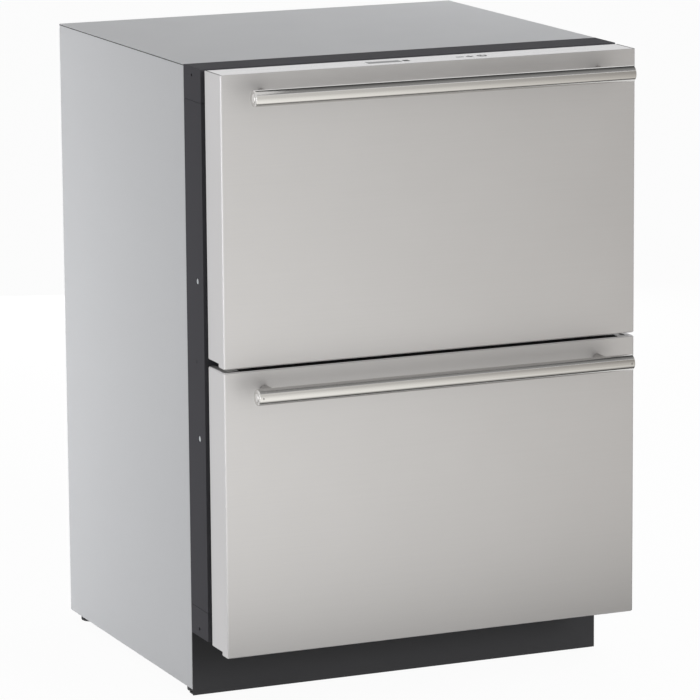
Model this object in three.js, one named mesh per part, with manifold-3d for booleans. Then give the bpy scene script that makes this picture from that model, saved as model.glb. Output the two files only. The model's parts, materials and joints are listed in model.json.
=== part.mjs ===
// An undercounter refrigerator with two drawers, built as its separate pieces.
// Millimetres, +Z up. The origin is on the floor, below the middle of the overall box.
// The drawers face -Y, and +X is to the right of someone who stands in front of them.

import * as THREE from 'three';
import { mergeVertices } from 'three/addons/utils/BufferGeometryUtils.js';
import Module from 'manifold-3d';

const wasm = await Module();
wasm.setup();

// ---------------------------------------------------------------- driving dimensions

const FIT = 0.25; // clearance between two pieces that seat on each other

// Outer shell of painted sheet
const CABINET_WIDTH = 608;
const CABINET_HEIGHT = 867; // floor to top panel, with the feet screwed in
const SHELL_DEPTH = 481;
const SHELL_LIFT = 11; // gap between the floor and the shell's lower edge
const SHELL_SHEET = 1;
const SHELL_FLANGE = 14; // inward fold along the bottom of each side panel
const REAR_RECESS = 5; // rear panel, set in from the side panels' rear edges
const BASE_SHEET = 1.5;

// Cold space
const SIDE_WALL = 42; // outer face of the cabinet to inner face of the liner
const REAR_WALL = 45;
const STEP_WALL = 40; // foam over and in front of the machine compartment
const LINER_SHEET = 1.5;

// Machine compartment, below and behind the cold space
const COMPARTMENT_DEPTH = 200;
const COMPARTMENT_HEIGHT = 241; // its ceiling above the floor
const PLENUM_CEILING = 92.5; // lower face of the foam under the cold space

// Black front frame
const FRAME_DEPTH = 61;
const FRAME_BOTTOM = 92;
const FRAME_WALL = 3;
const TOP_RAIL_HEIGHT = 45;
const BOTTOM_RAIL_HEIGHT = 40;
const MULLION_HEIGHT = 40;
const MULLION_DEPTH = 40;
const FRAME_HOLE_DIAMETER = 4;
const FRAME_HOLE_SETBACK = 32; // behind the frame's front plane
const FRAME_HOLE_EDGE = 11; // from the top of the top rail, and from the bottom of the bottom rail
const FRAME_SCREW_SETBACK = 22;
const FRAME_SCREW_SPREAD = 107; // each screw above or below the middle of the mullion
const SCREW_HEAD_DIAMETER = 8;
const SCREW_HEAD_HEIGHT = 1.75;
const SCREW_SHANK_DIAMETER = 4.5;
const SCREW_LENGTH = 14;

// Kick plate
const KICK_THICKNESS = 2;
const KICK_LIFT = 3;
const KICK_FLANGE = 15;

// Drawer fronts
const FRONT_WIDTH = 604;
const FRONT_THICKNESS = 54;
const FRONT_SHEET = 1.25;
const FRONT_CORNER = 2.5; // rounding of the upright front edges
const LOWER_FRONT_BOTTOM = 84;
const LOWER_FRONT_HEIGHT = 388;
const FRONT_GAP = 4.5;
const FRONT_TOP_DROP = 0.5; // below the top of the frame
const FRONT_LIP = 18; // depth of the front's bottom that reaches all the way down
const REBATE_HEIGHT = 5; // the rest of its bottom is this much shorter
const GASKET_THICKNESS = 10;
const GASKET_WIDTH = 12;
const GASKET_LAP = 2; // from the opening's edge to the gasket's inner edge
const GASKET_CORNER = 4;
const PLUG_DEPTH = 15; // raised middle of the inner panel, inside the opening
const PLUG_MARGIN = 10; // from the opening's edge to the raised middle

// Control strip in the top of the upper front
const STRIP_THICKNESS = 3;
const DISPLAY_WIDTH = 48;
const DISPLAY_DEPTH = 15;
const DISPLAY_OFFSET = -57; // from the middle of the strip

// Handles
const HANDLE_DIAMETER = 22;
const HANDLE_LENGTH = 554; // over the buttons of its end caps
const HANDLE_REACH = 47; // bar's axis in front of the drawer's face
const HANDLE_DROP = 26; // bar's axis below the top of the drawer's front
const HANDLE_ROUNDING = 1.5; // rim of the tube
const BUTTON_DIAMETER = 13; // raised middle of each end cap
const BUTTON_RISE = 2;
const POST_DIAMETER = 12;
const POST_SPACING = 490;

// Drawer slides, each of three members nested in one another
const SLIDE_THICKNESS = 12.75;
const SLIDE_HEIGHT = 45;
const SLIDE_SHEET = 1.25;
const SLIDE_PLAY = 0.5;
const UPPER_SLIDE_RISE = 65; // middle of the slide above the upper compartment's floor
const LOWER_SLIDE_RISE = 49; // middle of the slide above the step in the liner

// Drawer tubs
const TUB_SHEET = 1.5;
const TUB_CORNER = 8;
const TUB_RIM = 5;
const TUB_LIFT = 8; // above the floor of the compartment and above the step
const UPPER_TUB_HEADROOM = 72; // from the tub's rim to the ceiling of its compartment
const LOWER_TUB_HEADROOM = 34;
const TUB_REAR_GAP = 10; // behind the tubs and the slides

// Levelling legs
const LEG_PAD_DIAMETER = 30;
const LEG_PAD_HEIGHT = 8;
const LEG_PAD_CHAMFER = 1;
const LEG_STUD_DIAMETER = 10;
const LEG_LENGTH = 60;
const LEG_SIDE_INSET = 22;
const LEG_REAR_INSET = 27;
const LEG_FRONT_INSET = 35;
const LEG_SOCKET_DIAMETER = 20;
const LEG_SOCKET_HEIGHT = 26;

// Cooling machinery
const COMPRESSOR_DIAMETER = 146;
const COMPRESSOR_HEIGHT = 170;
const COMPRESSOR_INSET = 154; // its axis from the cabinet's left side
const COMPRESSOR_DOME = 24;
const COMPRESSOR_PLATE_WIDTH = 180;
const COMPRESSOR_PLATE_DEPTH = 116;
const COMPRESSOR_PLATE_SHEET = 3;
const COMPRESSOR_SEAM_WIDTH = 3; // weld seam round the pot
const COMPRESSOR_SEAM_HEIGHT = 4;
const COMPRESSOR_FOOT_DIAMETER = 20;
const COMPRESSOR_FOOT_HEIGHT = 10;
const COMPRESSOR_FOOT_INSET = 15;
const COIL_TUBE_DIAMETER = 8;
const COIL_PITCH = 40;
const FIN_THICKNESS = 1;
const CONDENSER_INSET = 159; // its middle from the cabinet's right side
const CONDENSER_WIDTH = 210;
const CONDENSER_HEIGHT = 180;
const CONDENSER_DEPTH = 32;
const CONDENSER_FINS = 7;
const EVAPORATOR_WIDTH = 360;
const EVAPORATOR_HEIGHT = 120;
const EVAPORATOR_DEPTH = 40;
const EVAPORATOR_FINS = 9;
const COVER_SIDE_GAP = 4; // between the slides' inner faces and the cover
const COVER_HEIGHT = 270;
const COVER_DEPTH = 50;
const COVER_SHEET = 2;
const COVER_DROP = 8; // below the ceiling of the liner
const COVER_SLOT_WIDTH = 28;
const COVER_SLOT_HEIGHT = 20;
const COVER_SLOT_PITCH = 42;
const COVER_SLOT_MARGIN = 60; // from the cover's side to the middle of the first slot
const COVER_SLOT_RISE = 4; // above the cover's lower edge
const CONDENSER_FAN_DIAMETER = 150;
const CONDENSER_FAN_CHORD = 30;
const EVAPORATOR_FAN_DIAMETER = 100;
const EVAPORATOR_FAN_CHORD = 20;
const FAN_TIP_GAP = 3;
const FAN_RING_DEPTH = 20;
const FAN_RING_WALL = 8;
const FAN_BLADES = 5;
const FAN_BLADE_SHEET = 1.5;
const FAN_BLADE_PITCH = 0.5; // radians from the plane of the fan
const HUB_DIAMETER = 34;
const HUB_DEPTH = 14;
const HUB_BORE_DEPTH = 10.5;
const SHAFT_DIAMETER = 5;
const MOTOR_DIAMETER = 46;
const MOTOR_DEPTH = 28;
const STRUTS = 3;
const STRUT_WIDTH = 8;
const STRUT_THICKNESS = 3;
const VENT_WIDTH = 170;
const VENT_HEIGHT = 8;
const VENT_PITCH = 18;
const VENT_ROWS = 6;
const VENT_BOTTOM = 70;

// Small inner parts
const LAMP_WIDTH = 240;
const LAMP_DEPTH = 16;
const LAMP_HEIGHT = 9;
const LAMP_LENS_HEIGHT = 4.5;
const LAMP_SETBACK = 90; // behind the frame's front plane
const PAN_INSET = 99; // from the cabinet's left side
const PAN_GAP = 35; // between the pan and the control box
const PAN_DEPTH = 180;
const PAN_HEIGHT = 22;
const PAN_SHEET = 1.5;
const BOARD_WIDTH = 120;
const BOARD_DEPTH = 80;
const BOARD_HEIGHT = 28;
const BOARD_CORNER = 4;
const BOARD_INSET = 154; // its middle from the cabinet's right side
const BOARD_BOSS_DIAMETER = 14;
const BOARD_BOSS_LENGTH = 4;
const PLENUM_SETBACK = 60; // pan and control box behind the shell's front plane
const GLAND_BORE = 9;
const GLAND_DIAMETER = 18;
const GLAND_FLANGE_DIAMETER = 26;
const GLAND_FLANGE = 3;
const GLAND_LENGTH = 14;
const GLAND_NUT_SIDES = 6;
const GLAND_INSET = 54; // its axis from the cabinet's right side
const GLAND_Z = 45;

// ---------------------------------------------------------------- planes that follow from them

const HALF_WIDTH = CABINET_WIDTH / 2;
const HANDLE_RADIUS = HANDLE_DIAMETER / 2;
const CABINET_DEPTH = SHELL_DEPTH + FRAME_DEPTH;
const DRAWER_REACH = GASKET_THICKNESS + FRONT_THICKNESS + HANDLE_REACH + HANDLE_RADIUS;
const REAR_Y = (CABINET_DEPTH + DRAWER_REACH) / 2;
const SHELL_FRONT_Y = REAR_Y - SHELL_DEPTH;
const FRAME_FRONT_Y = SHELL_FRONT_Y - FRAME_DEPTH;
const FRONT_BACK_Y = FRAME_FRONT_Y - GASKET_THICKNESS; // rear face of both drawer fronts

const PANEL_INNER_X = HALF_WIDTH - SHELL_SHEET;
const REAR_PANEL_Y = REAR_Y - REAR_RECESS - SHELL_SHEET;
const BASE_BOTTOM = SHELL_LIFT + SHELL_SHEET + FIT;
const BASE_TOP = BASE_BOTTOM + BASE_SHEET;
const TOP_SHEET_Z = CABINET_HEIGHT - SHELL_SHEET;

const OPENING_X = HALF_WIDTH - SIDE_WALL;
const OPENING_BOTTOM = FRAME_BOTTOM + BOTTOM_RAIL_HEIGHT;
const OPENING_TOP = CABINET_HEIGHT - TOP_RAIL_HEIGHT;
const LINER_REAR_Y = REAR_Y - REAR_WALL;
const COMPARTMENT_FRONT_Y = REAR_Y - COMPARTMENT_DEPTH;
const STEP_FRONT_Y = COMPARTMENT_FRONT_Y - STEP_WALL;
const STEP_TOP = COMPARTMENT_HEIGHT + STEP_WALL;

const LOWER_FRONT_TOP = LOWER_FRONT_BOTTOM + LOWER_FRONT_HEIGHT;
const UPPER_FRONT_BOTTOM = LOWER_FRONT_TOP + FRONT_GAP;
const UPPER_FRONT_HEIGHT = CABINET_HEIGHT - FRONT_TOP_DROP - UPPER_FRONT_BOTTOM;
const MULLION_MIDDLE = LOWER_FRONT_TOP + FRONT_GAP / 2;
const MULLION_BOTTOM = MULLION_MIDDLE - MULLION_HEIGHT / 2;
const MULLION_TOP = MULLION_MIDDLE + MULLION_HEIGHT / 2;

// Depths in a drawer's group count from the rear face of the drawer's front.
const SLIDE_START = PLUG_DEPTH + FIT;
const SLIDE_END = LINER_REAR_Y - COVER_DEPTH - TUB_REAR_GAP - FRONT_BACK_Y;
const SLIDE_LENGTH = SLIDE_END - SLIDE_START;
const STRIP_MIDDLE_Y = (-FRONT_THICKNESS + FRONT_SHEET + FIT) / 2;

const TUB_X = OPENING_X - SLIDE_THICKNESS - 2 * FIT;
const COVER_X = TUB_X - COVER_SIDE_GAP;

const COMPRESSOR_X = COMPRESSOR_INSET - HALF_WIDTH;
const CONDENSER_X = HALF_WIDTH - CONDENSER_INSET;
const BOARD_X = HALF_WIDTH - BOARD_INSET;
const GLAND_X = HALF_WIDTH - GLAND_INSET;

const MOTOR_FRONT = HUB_DEPTH / 2 + FAN_TIP_GAP; // behind the middle of a fan's rotor
const CONDENSER_HOLE_RADIUS = CONDENSER_FAN_DIAMETER / 2 + FAN_TIP_GAP;
const EVAPORATOR_HOLE_RADIUS = EVAPORATOR_FAN_DIAMETER / 2 + FAN_TIP_GAP;

// The evaporator fan's axis is below the top of its cover, and its rotor in front of the liner's rear wall.
const EVAPORATOR_FAN_DROP = EVAPORATOR_HOLE_RADIUS + 2 * FAN_RING_WALL + FAN_TIP_GAP;
const EVAPORATOR_ROTOR_Y = HUB_DEPTH / 2 + COVER_SHEET - COVER_DEPTH;

// ---------------------------------------------------------------- shapes and cuts

const AXIS_X = new THREE.Vector3(1, 0, 0);
const AXIS_Y = new THREE.Vector3(0, 1, 0);
const AXIS_Z = new THREE.Vector3(0, 0, 1);

// A side view, drawn as (y, z), is extruded along +X. A front view, (x, z), is extruded along -Y.
const SIDE_VIEW = new THREE.Matrix4().makeBasis(AXIS_Y, AXIS_Z, AXIS_X);
const FRONT_VIEW = new THREE.Matrix4().makeBasis(AXIS_X, AXIS_Z, AXIS_Y.clone().negate());

const WELD = 1e-4;
const ROUND_SEGMENTS = 20;
const SMALL_SEGMENTS = 12;
const CORNER_SEGMENTS = 2;
const BEND_STEPS = 6;

/** A closed three.js mesh as a solid that can be joined and cut. */
function toSolid(geometry) {
  const bare = geometry.clone();
  bare.deleteAttribute('normal');
  bare.deleteAttribute('uv');
  const merged = mergeVertices(bare, WELD);
  return new wasm.Manifold(
    new wasm.Mesh({
      numProp: 3,
      vertProperties: new Float32Array(merged.attributes.position.array),
      triVerts: new Uint32Array(merged.index.array),
    }),
  );
}

/** The solid's triangles as a flat-shaded three.js geometry. */
function toGeometry(solid) {
  const mesh = solid.getMesh();
  const indexed = new THREE.BufferGeometry();
  indexed.setAttribute('position', new THREE.BufferAttribute(mesh.vertProperties, 3));
  indexed.setIndex(new THREE.BufferAttribute(mesh.triVerts, 1));
  const geometry = indexed.toNonIndexed();
  geometry.computeVertexNormals();
  return geometry;
}

/** The geometries joined into one. */
function join(...geometries) {
  return toGeometry(geometries.map(toSolid).reduce((whole, next) => whole.add(next)));
}

/** The first geometry with all the others cut out of it. */
function cut(body, ...tools) {
  return toGeometry(tools.map(toSolid).reduce((rest, tool) => rest.subtract(tool), toSolid(body)));
}

/** What two geometries have in common. */
function common(one, other) {
  return toGeometry(toSolid(one).intersect(toSolid(other)));
}

/** A box between two limits on each axis. */
function block([x0, x1], [y0, y1], [z0, z1]) {
  const box = new THREE.BoxGeometry(x1 - x0, y1 - y0, z1 - z0);
  return box.translate((x0 + x1) / 2, (y0 + y1) / 2, (z0 + z1) / 2);
}

/** Limits at the same distance on both sides of zero. */
function both(distance) {
  return [-distance, distance];
}

/** An outline extruded by a length along its own +Z. */
function extrude(outline, length) {
  return new THREE.ExtrudeGeometry(outline, {
    depth: length,
    bevelEnabled: false,
    curveSegments: CORNER_SEGMENTS,
  });
}

/** A side view's (y, z) points, extruded across the width between two x limits. */
function sideExtrusion(points, [x0, x1]) {
  const outline = new THREE.Shape(points.map(([y, z]) => new THREE.Vector2(y, z)));
  return extrude(outline, x1 - x0).applyMatrix4(SIDE_VIEW).translate(x0, 0, 0);
}

/** A front view's outline in (x, z), extruded in depth between two y limits. */
function frontExtrusion(outline, [y0, y1]) {
  return extrude(outline, y1 - y0).applyMatrix4(FRONT_VIEW).translate(0, y1, 0);
}

/** A rectangle with four round corners. */
function roundedRectangle([u0, u1], [v0, v1], radius, Outline = THREE.Shape) {
  const outline = new Outline();
  outline.absarc(u1 - radius, v0 + radius, radius, -Math.PI / 2, 0);
  outline.absarc(u1 - radius, v1 - radius, radius, 0, Math.PI / 2);
  outline.absarc(u0 + radius, v1 - radius, radius, Math.PI / 2, Math.PI);
  outline.absarc(u0 + radius, v0 + radius, radius, Math.PI, (3 * Math.PI) / 2);
  outline.closePath();
  return outline;
}

/** A round bar along an axis, from one distance on it to another. */
function bar(axis, diameter, [from, to], segments = ROUND_SEGMENTS) {
  const cylinder = new THREE.CylinderGeometry(diameter / 2, diameter / 2, to - from, segments);
  cylinder.translate(0, (from + to) / 2, 0);
  return cylinder.applyQuaternion(new THREE.Quaternion().setFromUnitVectors(AXIS_Y, axis));
}

/** Points of a quarter ellipse about a middle (u, v), from its reach along u to its reach along v. */
function quarterTurn([u, v], [reachU, reachV]) {
  const angles = [0, 1, 2, 3].map((step) => (step * Math.PI) / 6);
  return angles.map((angle) => [u + reachU * Math.cos(angle), v + reachV * Math.sin(angle)]);
}

/** A (radius, height) profile turned about +Z. */
function turned(profile, segments = ROUND_SEGMENTS) {
  const points = profile.map(([radius, height]) => new THREE.Vector2(radius, height));
  return new THREE.LatheGeometry(points, segments).rotateX(Math.PI / 2);
}

// ---------------------------------------------------------------- finishes and placing

const FINISHES = {
  silverPaint: { color: 0xb4b6b9, roughness: 0.45, metalness: 0.3 },
  brushedSteel: { color: 0xb8b4b0, roughness: 0.35, metalness: 0.9 },
  polishedSteel: { color: 0xc8c6c3, roughness: 0.18, metalness: 1 },
  blackPaint: { color: 0x3c3c40, roughness: 0.5, metalness: 0.1 },
  blackPlastic: { color: 0x1c1c1e, roughness: 0.6, metalness: 0 },
  whitePlastic: { color: 0xe6e7e8, roughness: 0.4, metalness: 0 },
  foam: { color: 0xe8dfb8, roughness: 0.95, metalness: 0 },
  rubber: { color: 0x1a1a1a, roughness: 0.8, metalness: 0 },
  zinc: { color: 0xc0c4c8, roughness: 0.3, metalness: 0.9 },
  lightStrip: { color: 0xd6d5d6, roughness: 0.35, metalness: 0.6 },
  smokedGlass: { color: 0x6a6c70, roughness: 0.1, metalness: 0 },
  lamp: { color: 0xf6f7f8, roughness: 0.3, metalness: 0 },
  copper: { color: 0xb87850, roughness: 0.35, metalness: 0.9 },
  aluminium: { color: 0xc9cbcd, roughness: 0.4, metalness: 0.8 },
  motorBlack: { color: 0x232326, roughness: 0.55, metalness: 0.2 },
};

/** Adds a named piece to a group. */
function piece(group, name, geometry, finish, position = [0, 0, 0]) {
  const mesh = new THREE.Mesh(geometry, new THREE.MeshStandardMaterial(FINISHES[finish]));
  mesh.name = name;
  mesh.position.set(...position);
  group.add(mesh);
  return mesh;
}

/** Adds an empty group at a place. */
function groupAt(parent, x, y, z) {
  const group = new THREE.Group();
  group.position.set(x, y, z);
  parent.add(group);
  return group;
}

// ---------------------------------------------------------------- outer shell

/** A side panel with its inward bottom fold; the outer face is at x = 0 and the inside is +X. */
function sidePanel() {
  const fold = [
    [0, SHELL_LIFT],
    [SHELL_FLANGE, SHELL_LIFT],
    [SHELL_FLANGE, SHELL_LIFT + SHELL_SHEET],
    [SHELL_SHEET, SHELL_LIFT + SHELL_SHEET],
    [SHELL_SHEET, TOP_SHEET_Z - FIT],
    [0, TOP_SHEET_Z - FIT],
  ];
  const outline = new THREE.Shape(fold.map(([x, z]) => new THREE.Vector2(x, z)));
  return frontExtrusion(outline, both(SHELL_DEPTH / 2 - FIT));
}

/** Rows of vent slots, to be cut from the rear panel behind the machine compartment. */
function ventSlots(middleX) {
  const slots = [];
  for (let row = 0; row < VENT_ROWS; row += 1) {
    const z = VENT_BOTTOM + row * VENT_PITCH;
    const width = both(VENT_WIDTH / 2).map((x) => x + middleX);
    slots.push(block(width, [REAR_PANEL_Y - SHELL_SHEET, REAR_Y], [z, z + VENT_HEIGHT]));
  }
  return slots;
}

/** The rear panel with its vents and the hole for the power cord's gland. */
function rearPanel() {
  const sheet = block(
    both(PANEL_INNER_X - FIT),
    [REAR_PANEL_Y, REAR_PANEL_Y + SHELL_SHEET],
    [BASE_TOP + FIT, TOP_SHEET_Z - FIT],
  );
  const glandHole = bar(AXIS_Y, GLAND_DIAMETER + 2 * FIT, [REAR_PANEL_Y - SHELL_SHEET, REAR_Y]);
  glandHole.translate(GLAND_X, 0, GLAND_Z);
  return cut(sheet, ...ventSlots(COMPRESSOR_X), ...ventSlots(CONDENSER_X), glandHole);
}

/** Places of the four levelling legs, as [name, x, y]. */
function legPlaces() {
  const x = HALF_WIDTH - LEG_SIDE_INSET;
  const frontY = SHELL_FRONT_Y + LEG_FRONT_INSET;
  const rearY = REAR_Y - LEG_REAR_INSET;
  return [
    ['leg_front_left', -x, frontY],
    ['leg_front_right', x, frontY],
    ['leg_rear_left', -x, rearY],
    ['leg_rear_right', x, rearY],
  ];
}

/** The base pan: a sheet with four sockets that the legs screw into. */
function basePan() {
  const sheet = block(
    both(PANEL_INNER_X - FIT),
    [SHELL_FRONT_Y + FIT, REAR_Y - REAR_RECESS],
    [BASE_BOTTOM, BASE_TOP],
  );
  const socketReach = [BASE_BOTTOM, BASE_BOTTOM + LEG_SOCKET_HEIGHT];
  const boreReach = [0, BASE_BOTTOM + 2 * LEG_SOCKET_HEIGHT];
  const sockets = legPlaces().map(([, x, y]) =>
    bar(AXIS_Z, LEG_SOCKET_DIAMETER, socketReach, SMALL_SEGMENTS).translate(x, y, 0),
  );
  const bores = legPlaces().map(([, x, y]) =>
    bar(AXIS_Z, LEG_STUD_DIAMETER + 2 * FIT, boreReach, SMALL_SEGMENTS).translate(x, y, 0),
  );
  return cut(join(sheet, ...sockets), ...bores);
}

/** The kick plate: a sheet with a fold at its top and at its bottom, both between the side panels. */
function kickPlate() {
  const top = FRAME_BOTTOM - FIT;
  const foldDepth = [0, KICK_FLANGE];
  const sheet = block(both(HALF_WIDTH), [-KICK_THICKNESS, 0], [KICK_LIFT, top]);
  const topFold = block(both(PANEL_INNER_X - FIT), foldDepth, [top - KICK_THICKNESS, top]);
  const bottomFold = block(both(PANEL_INNER_X - FIT), foldDepth, [KICK_LIFT, KICK_LIFT + KICK_THICKNESS]);
  return join(sheet, topFold, bottomFold);
}

/** The power cord's gland, a bush with a flange outside the rear panel and a nut inside it. */
function cordGland() {
  const flange = bar(AXIS_Y, GLAND_FLANGE_DIAMETER, [0, GLAND_FLANGE]);
  const bush = bar(AXIS_Y, GLAND_DIAMETER, [-GLAND_LENGTH, GLAND_FLANGE]);
  const nutFront = -SHELL_SHEET - 2 * FIT;
  const nut = bar(AXIS_Y, GLAND_FLANGE_DIAMETER, [nutFront - GLAND_FLANGE, nutFront], GLAND_NUT_SIDES);
  const bore = bar(AXIS_Y, GLAND_BORE, [-2 * GLAND_LENGTH, 2 * GLAND_FLANGE]);
  return cut(join(flange, bush, nut), bore);
}

function addShell(parent) {
  const middleY = (SHELL_FRONT_Y + REAR_Y) / 2;
  piece(parent, 'left_side_panel', sidePanel(), 'silverPaint', [-HALF_WIDTH, middleY, 0]);
  const right = piece(parent, 'right_side_panel', sidePanel(), 'silverPaint', [HALF_WIDTH, middleY, 0]);
  right.rotation.z = Math.PI;

  const topSheet = block(both(HALF_WIDTH), [SHELL_FRONT_Y + FIT, REAR_Y], [0, SHELL_SHEET]);
  piece(parent, 'top_panel', topSheet, 'silverPaint', [0, 0, TOP_SHEET_Z]);
  piece(parent, 'rear_panel', rearPanel(), 'zinc');
  piece(parent, 'base_pan', basePan(), 'zinc');
  piece(parent, 'kick_plate', kickPlate(), 'blackPaint', [0, SHELL_FRONT_Y, 0]);

  const glandY = REAR_Y - REAR_RECESS + FIT;
  piece(parent, 'cord_gland', cordGland(), 'blackPlastic', [GLAND_X, glandY, GLAND_Z]);
}

// ---------------------------------------------------------------- liner and foam

/** The liner's side view, grown outwards by a distance; its front edge stays where it is given. */
function linerSideView(growth, frontY) {
  return [
    [frontY, OPENING_BOTTOM - growth],
    [STEP_FRONT_Y + growth, OPENING_BOTTOM - growth],
    [STEP_FRONT_Y + growth, STEP_TOP - growth],
    [LINER_REAR_Y + growth, STEP_TOP - growth],
    [LINER_REAR_Y + growth, OPENING_TOP + growth],
    [frontY, OPENING_TOP + growth],
  ];
}

/** The space inside the liner, grown by a distance on every side but the front. */
function linerSpace(growth, frontY) {
  return sideExtrusion(linerSideView(growth, frontY), both(OPENING_X + growth));
}

/** The inner liner, a thin box that is open at the front and steps up over the machine compartment. */
function innerLiner() {
  return cut(linerSpace(LINER_SHEET, SHELL_FRONT_Y + FIT), linerSpace(0, SHELL_FRONT_Y - FRAME_DEPTH));
}

/** The insulation: a block round the liner, with tongues that fill the hollow front frame. */
function insulation() {
  const main = block(
    both(PANEL_INNER_X - FIT),
    [SHELL_FRONT_Y + FIT, REAR_PANEL_Y - FIT],
    [PLENUM_CEILING, TOP_SHEET_Z - FIT],
  );
  const compartment = block(
    both(CABINET_WIDTH),
    [COMPARTMENT_FRONT_Y, REAR_Y],
    [0, COMPARTMENT_HEIGHT],
  );
  const tongues = frameMembers().map(({ hollow }) => {
    const [xs, zs] = hollow;
    return block(
      [xs[0] + FIT, xs[1] - FIT],
      [FRAME_FRONT_Y + FRAME_WALL + FIT, SHELL_FRONT_Y + 2 * FIT],
      [zs[0] + FIT, zs[1] - FIT],
    );
  });
  const screwPockets = screwPlaces().map(([, side, z]) =>
    bar(AXIS_X, SCREW_SHANK_DIAMETER + 2 * FIT, both(SCREW_LENGTH + FIT), SMALL_SEGMENTS).translate(
      side * HALF_WIDTH,
      FRAME_FRONT_Y + FRAME_SCREW_SETBACK,
      z,
    ),
  );
  const liner = linerSpace(LINER_SHEET + FIT, FRAME_FRONT_Y);
  return cut(join(main, ...tongues), compartment, liner, ...screwPockets);
}

// ---------------------------------------------------------------- black front frame

/** The four sides of the frame: where each one is, and the hollow behind its front and side walls. */
function frameMembers() {
  const wall = FRAME_WALL;
  const outerX = HALF_WIDTH;
  const member = (name, xs, zs) => ({
    name,
    xs,
    zs,
    hollow: [
      [xs[0] + wall, xs[1] - wall],
      [zs[0] + wall, zs[1] - wall],
    ],
  });
  const uprights = [OPENING_BOTTOM + FIT, OPENING_TOP - FIT];
  return [
    member('frame_top_rail', both(outerX), [OPENING_TOP, CABINET_HEIGHT]),
    member('frame_bottom_rail', both(outerX), [FRAME_BOTTOM, OPENING_BOTTOM]),
    member('frame_left_stile', [-outerX, -OPENING_X], uprights),
    member('frame_right_stile', [OPENING_X, outerX], uprights),
  ];
}

/** The frame's side screws, as [name, side, z]. */
function screwPlaces() {
  return [
    ['frame_screw_left_upper', -1, MULLION_MIDDLE + FRAME_SCREW_SPREAD],
    ['frame_screw_left_lower', -1, MULLION_MIDDLE - FRAME_SCREW_SPREAD],
    ['frame_screw_right_upper', 1, MULLION_MIDDLE + FRAME_SCREW_SPREAD],
    ['frame_screw_right_lower', 1, MULLION_MIDDLE - FRAME_SCREW_SPREAD],
  ];
}

/** A frame member, hollow and open to the rear. */
function hollowMember({ xs, zs, hollow }) {
  const outside = block(xs, [FRAME_FRONT_Y, SHELL_FRONT_Y], zs);
  const depth = [FRAME_FRONT_Y + FRAME_WALL, SHELL_FRONT_Y + FRAME_WALL];
  return cut(outside, block(hollow[0], depth, hollow[1]));
}

/** Tools that bore the two small holes in the ends of a rail. */
function railHoles(z) {
  return [-1, 1].map((side) =>
    bar(AXIS_X, FRAME_HOLE_DIAMETER, both(2 * FRAME_WALL), SMALL_SEGMENTS).translate(
      side * HALF_WIDTH,
      FRAME_FRONT_Y + FRAME_HOLE_SETBACK,
      z,
    ),
  );
}

/** Tools that bore and countersink a stile for its two screws. */
function stileHoles(stileSide) {
  const y = FRAME_FRONT_Y + FRAME_SCREW_SETBACK;
  const hole = (diameter, depth, z) =>
    bar(AXIS_X, diameter + 2 * FIT, both(depth), SMALL_SEGMENTS).translate(stileSide * HALF_WIDTH, y, z);
  return screwPlaces()
    .filter(([, side]) => side === stileSide)
    .flatMap(([, , z]) => [
      hole(SCREW_SHANK_DIAMETER, 2 * FRAME_WALL, z),
      hole(SCREW_HEAD_DIAMETER, SCREW_HEAD_HEIGHT + FIT, z),
    ]);
}

/** A flat-headed screw whose head's outer face is at x = 0, pointing along +X. */
function frameScrew() {
  const head = bar(AXIS_X, SCREW_HEAD_DIAMETER, [0, SCREW_HEAD_HEIGHT], SMALL_SEGMENTS);
  const shank = bar(AXIS_X, SCREW_SHANK_DIAMETER, [0, SCREW_LENGTH], SMALL_SEGMENTS);
  return join(head, shank);
}

function addFrame(parent) {
  const [topRail, bottomRail, leftStile, rightStile] = frameMembers();
  const topHoles = railHoles(CABINET_HEIGHT - FRAME_HOLE_EDGE);
  const bottomHoles = railHoles(FRAME_BOTTOM + FRAME_HOLE_EDGE);
  piece(parent, topRail.name, cut(hollowMember(topRail), ...topHoles), 'blackPaint');
  piece(parent, bottomRail.name, cut(hollowMember(bottomRail), ...bottomHoles), 'blackPaint');
  piece(parent, leftStile.name, cut(hollowMember(leftStile), ...stileHoles(-1)), 'blackPaint');
  piece(parent, rightStile.name, cut(hollowMember(rightStile), ...stileHoles(1)), 'blackPaint');

  const mullionX = OPENING_X - FIT;
  const mullionBody = block(both(mullionX), [0, MULLION_DEPTH], both(MULLION_HEIGHT / 2));
  const mullionHollow = block(
    both(mullionX - FRAME_WALL),
    [FRAME_WALL, MULLION_DEPTH + FRAME_WALL],
    both(MULLION_HEIGHT / 2 - FRAME_WALL),
  );
  const mullionPlace = [0, FRAME_FRONT_Y, MULLION_MIDDLE];
  piece(parent, 'center_mullion', cut(mullionBody, mullionHollow), 'blackPaint', mullionPlace);

  for (const [name, side, z] of screwPlaces()) {
    const place = [side * (HALF_WIDTH - FIT / 2), FRAME_FRONT_Y + FRAME_SCREW_SETBACK, z];
    const screw = piece(parent, name, frameScrew(), 'zinc', place);
    screw.rotation.z = side > 0 ? Math.PI : 0;
  }
}

// ---------------------------------------------------------------- drawer slides

/** A channel's section: its web lies between u0 and u0 + sheet, its two flanges reach to u1. */
function channelSection(webStart, webEnd, tip, halfHeight) {
  const inner = halfHeight - SLIDE_SHEET;
  const points = [
    [webStart, -halfHeight],
    [tip, -halfHeight],
    [tip, -inner],
    [webEnd, -inner],
    [webEnd, inner],
    [tip, inner],
    [tip, halfHeight],
    [webStart, halfHeight],
  ];
  const ordered = tip > webStart ? points : points.reverse();
  return new THREE.Shape(ordered.map(([u, v]) => new THREE.Vector2(u, v)));
}

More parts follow.
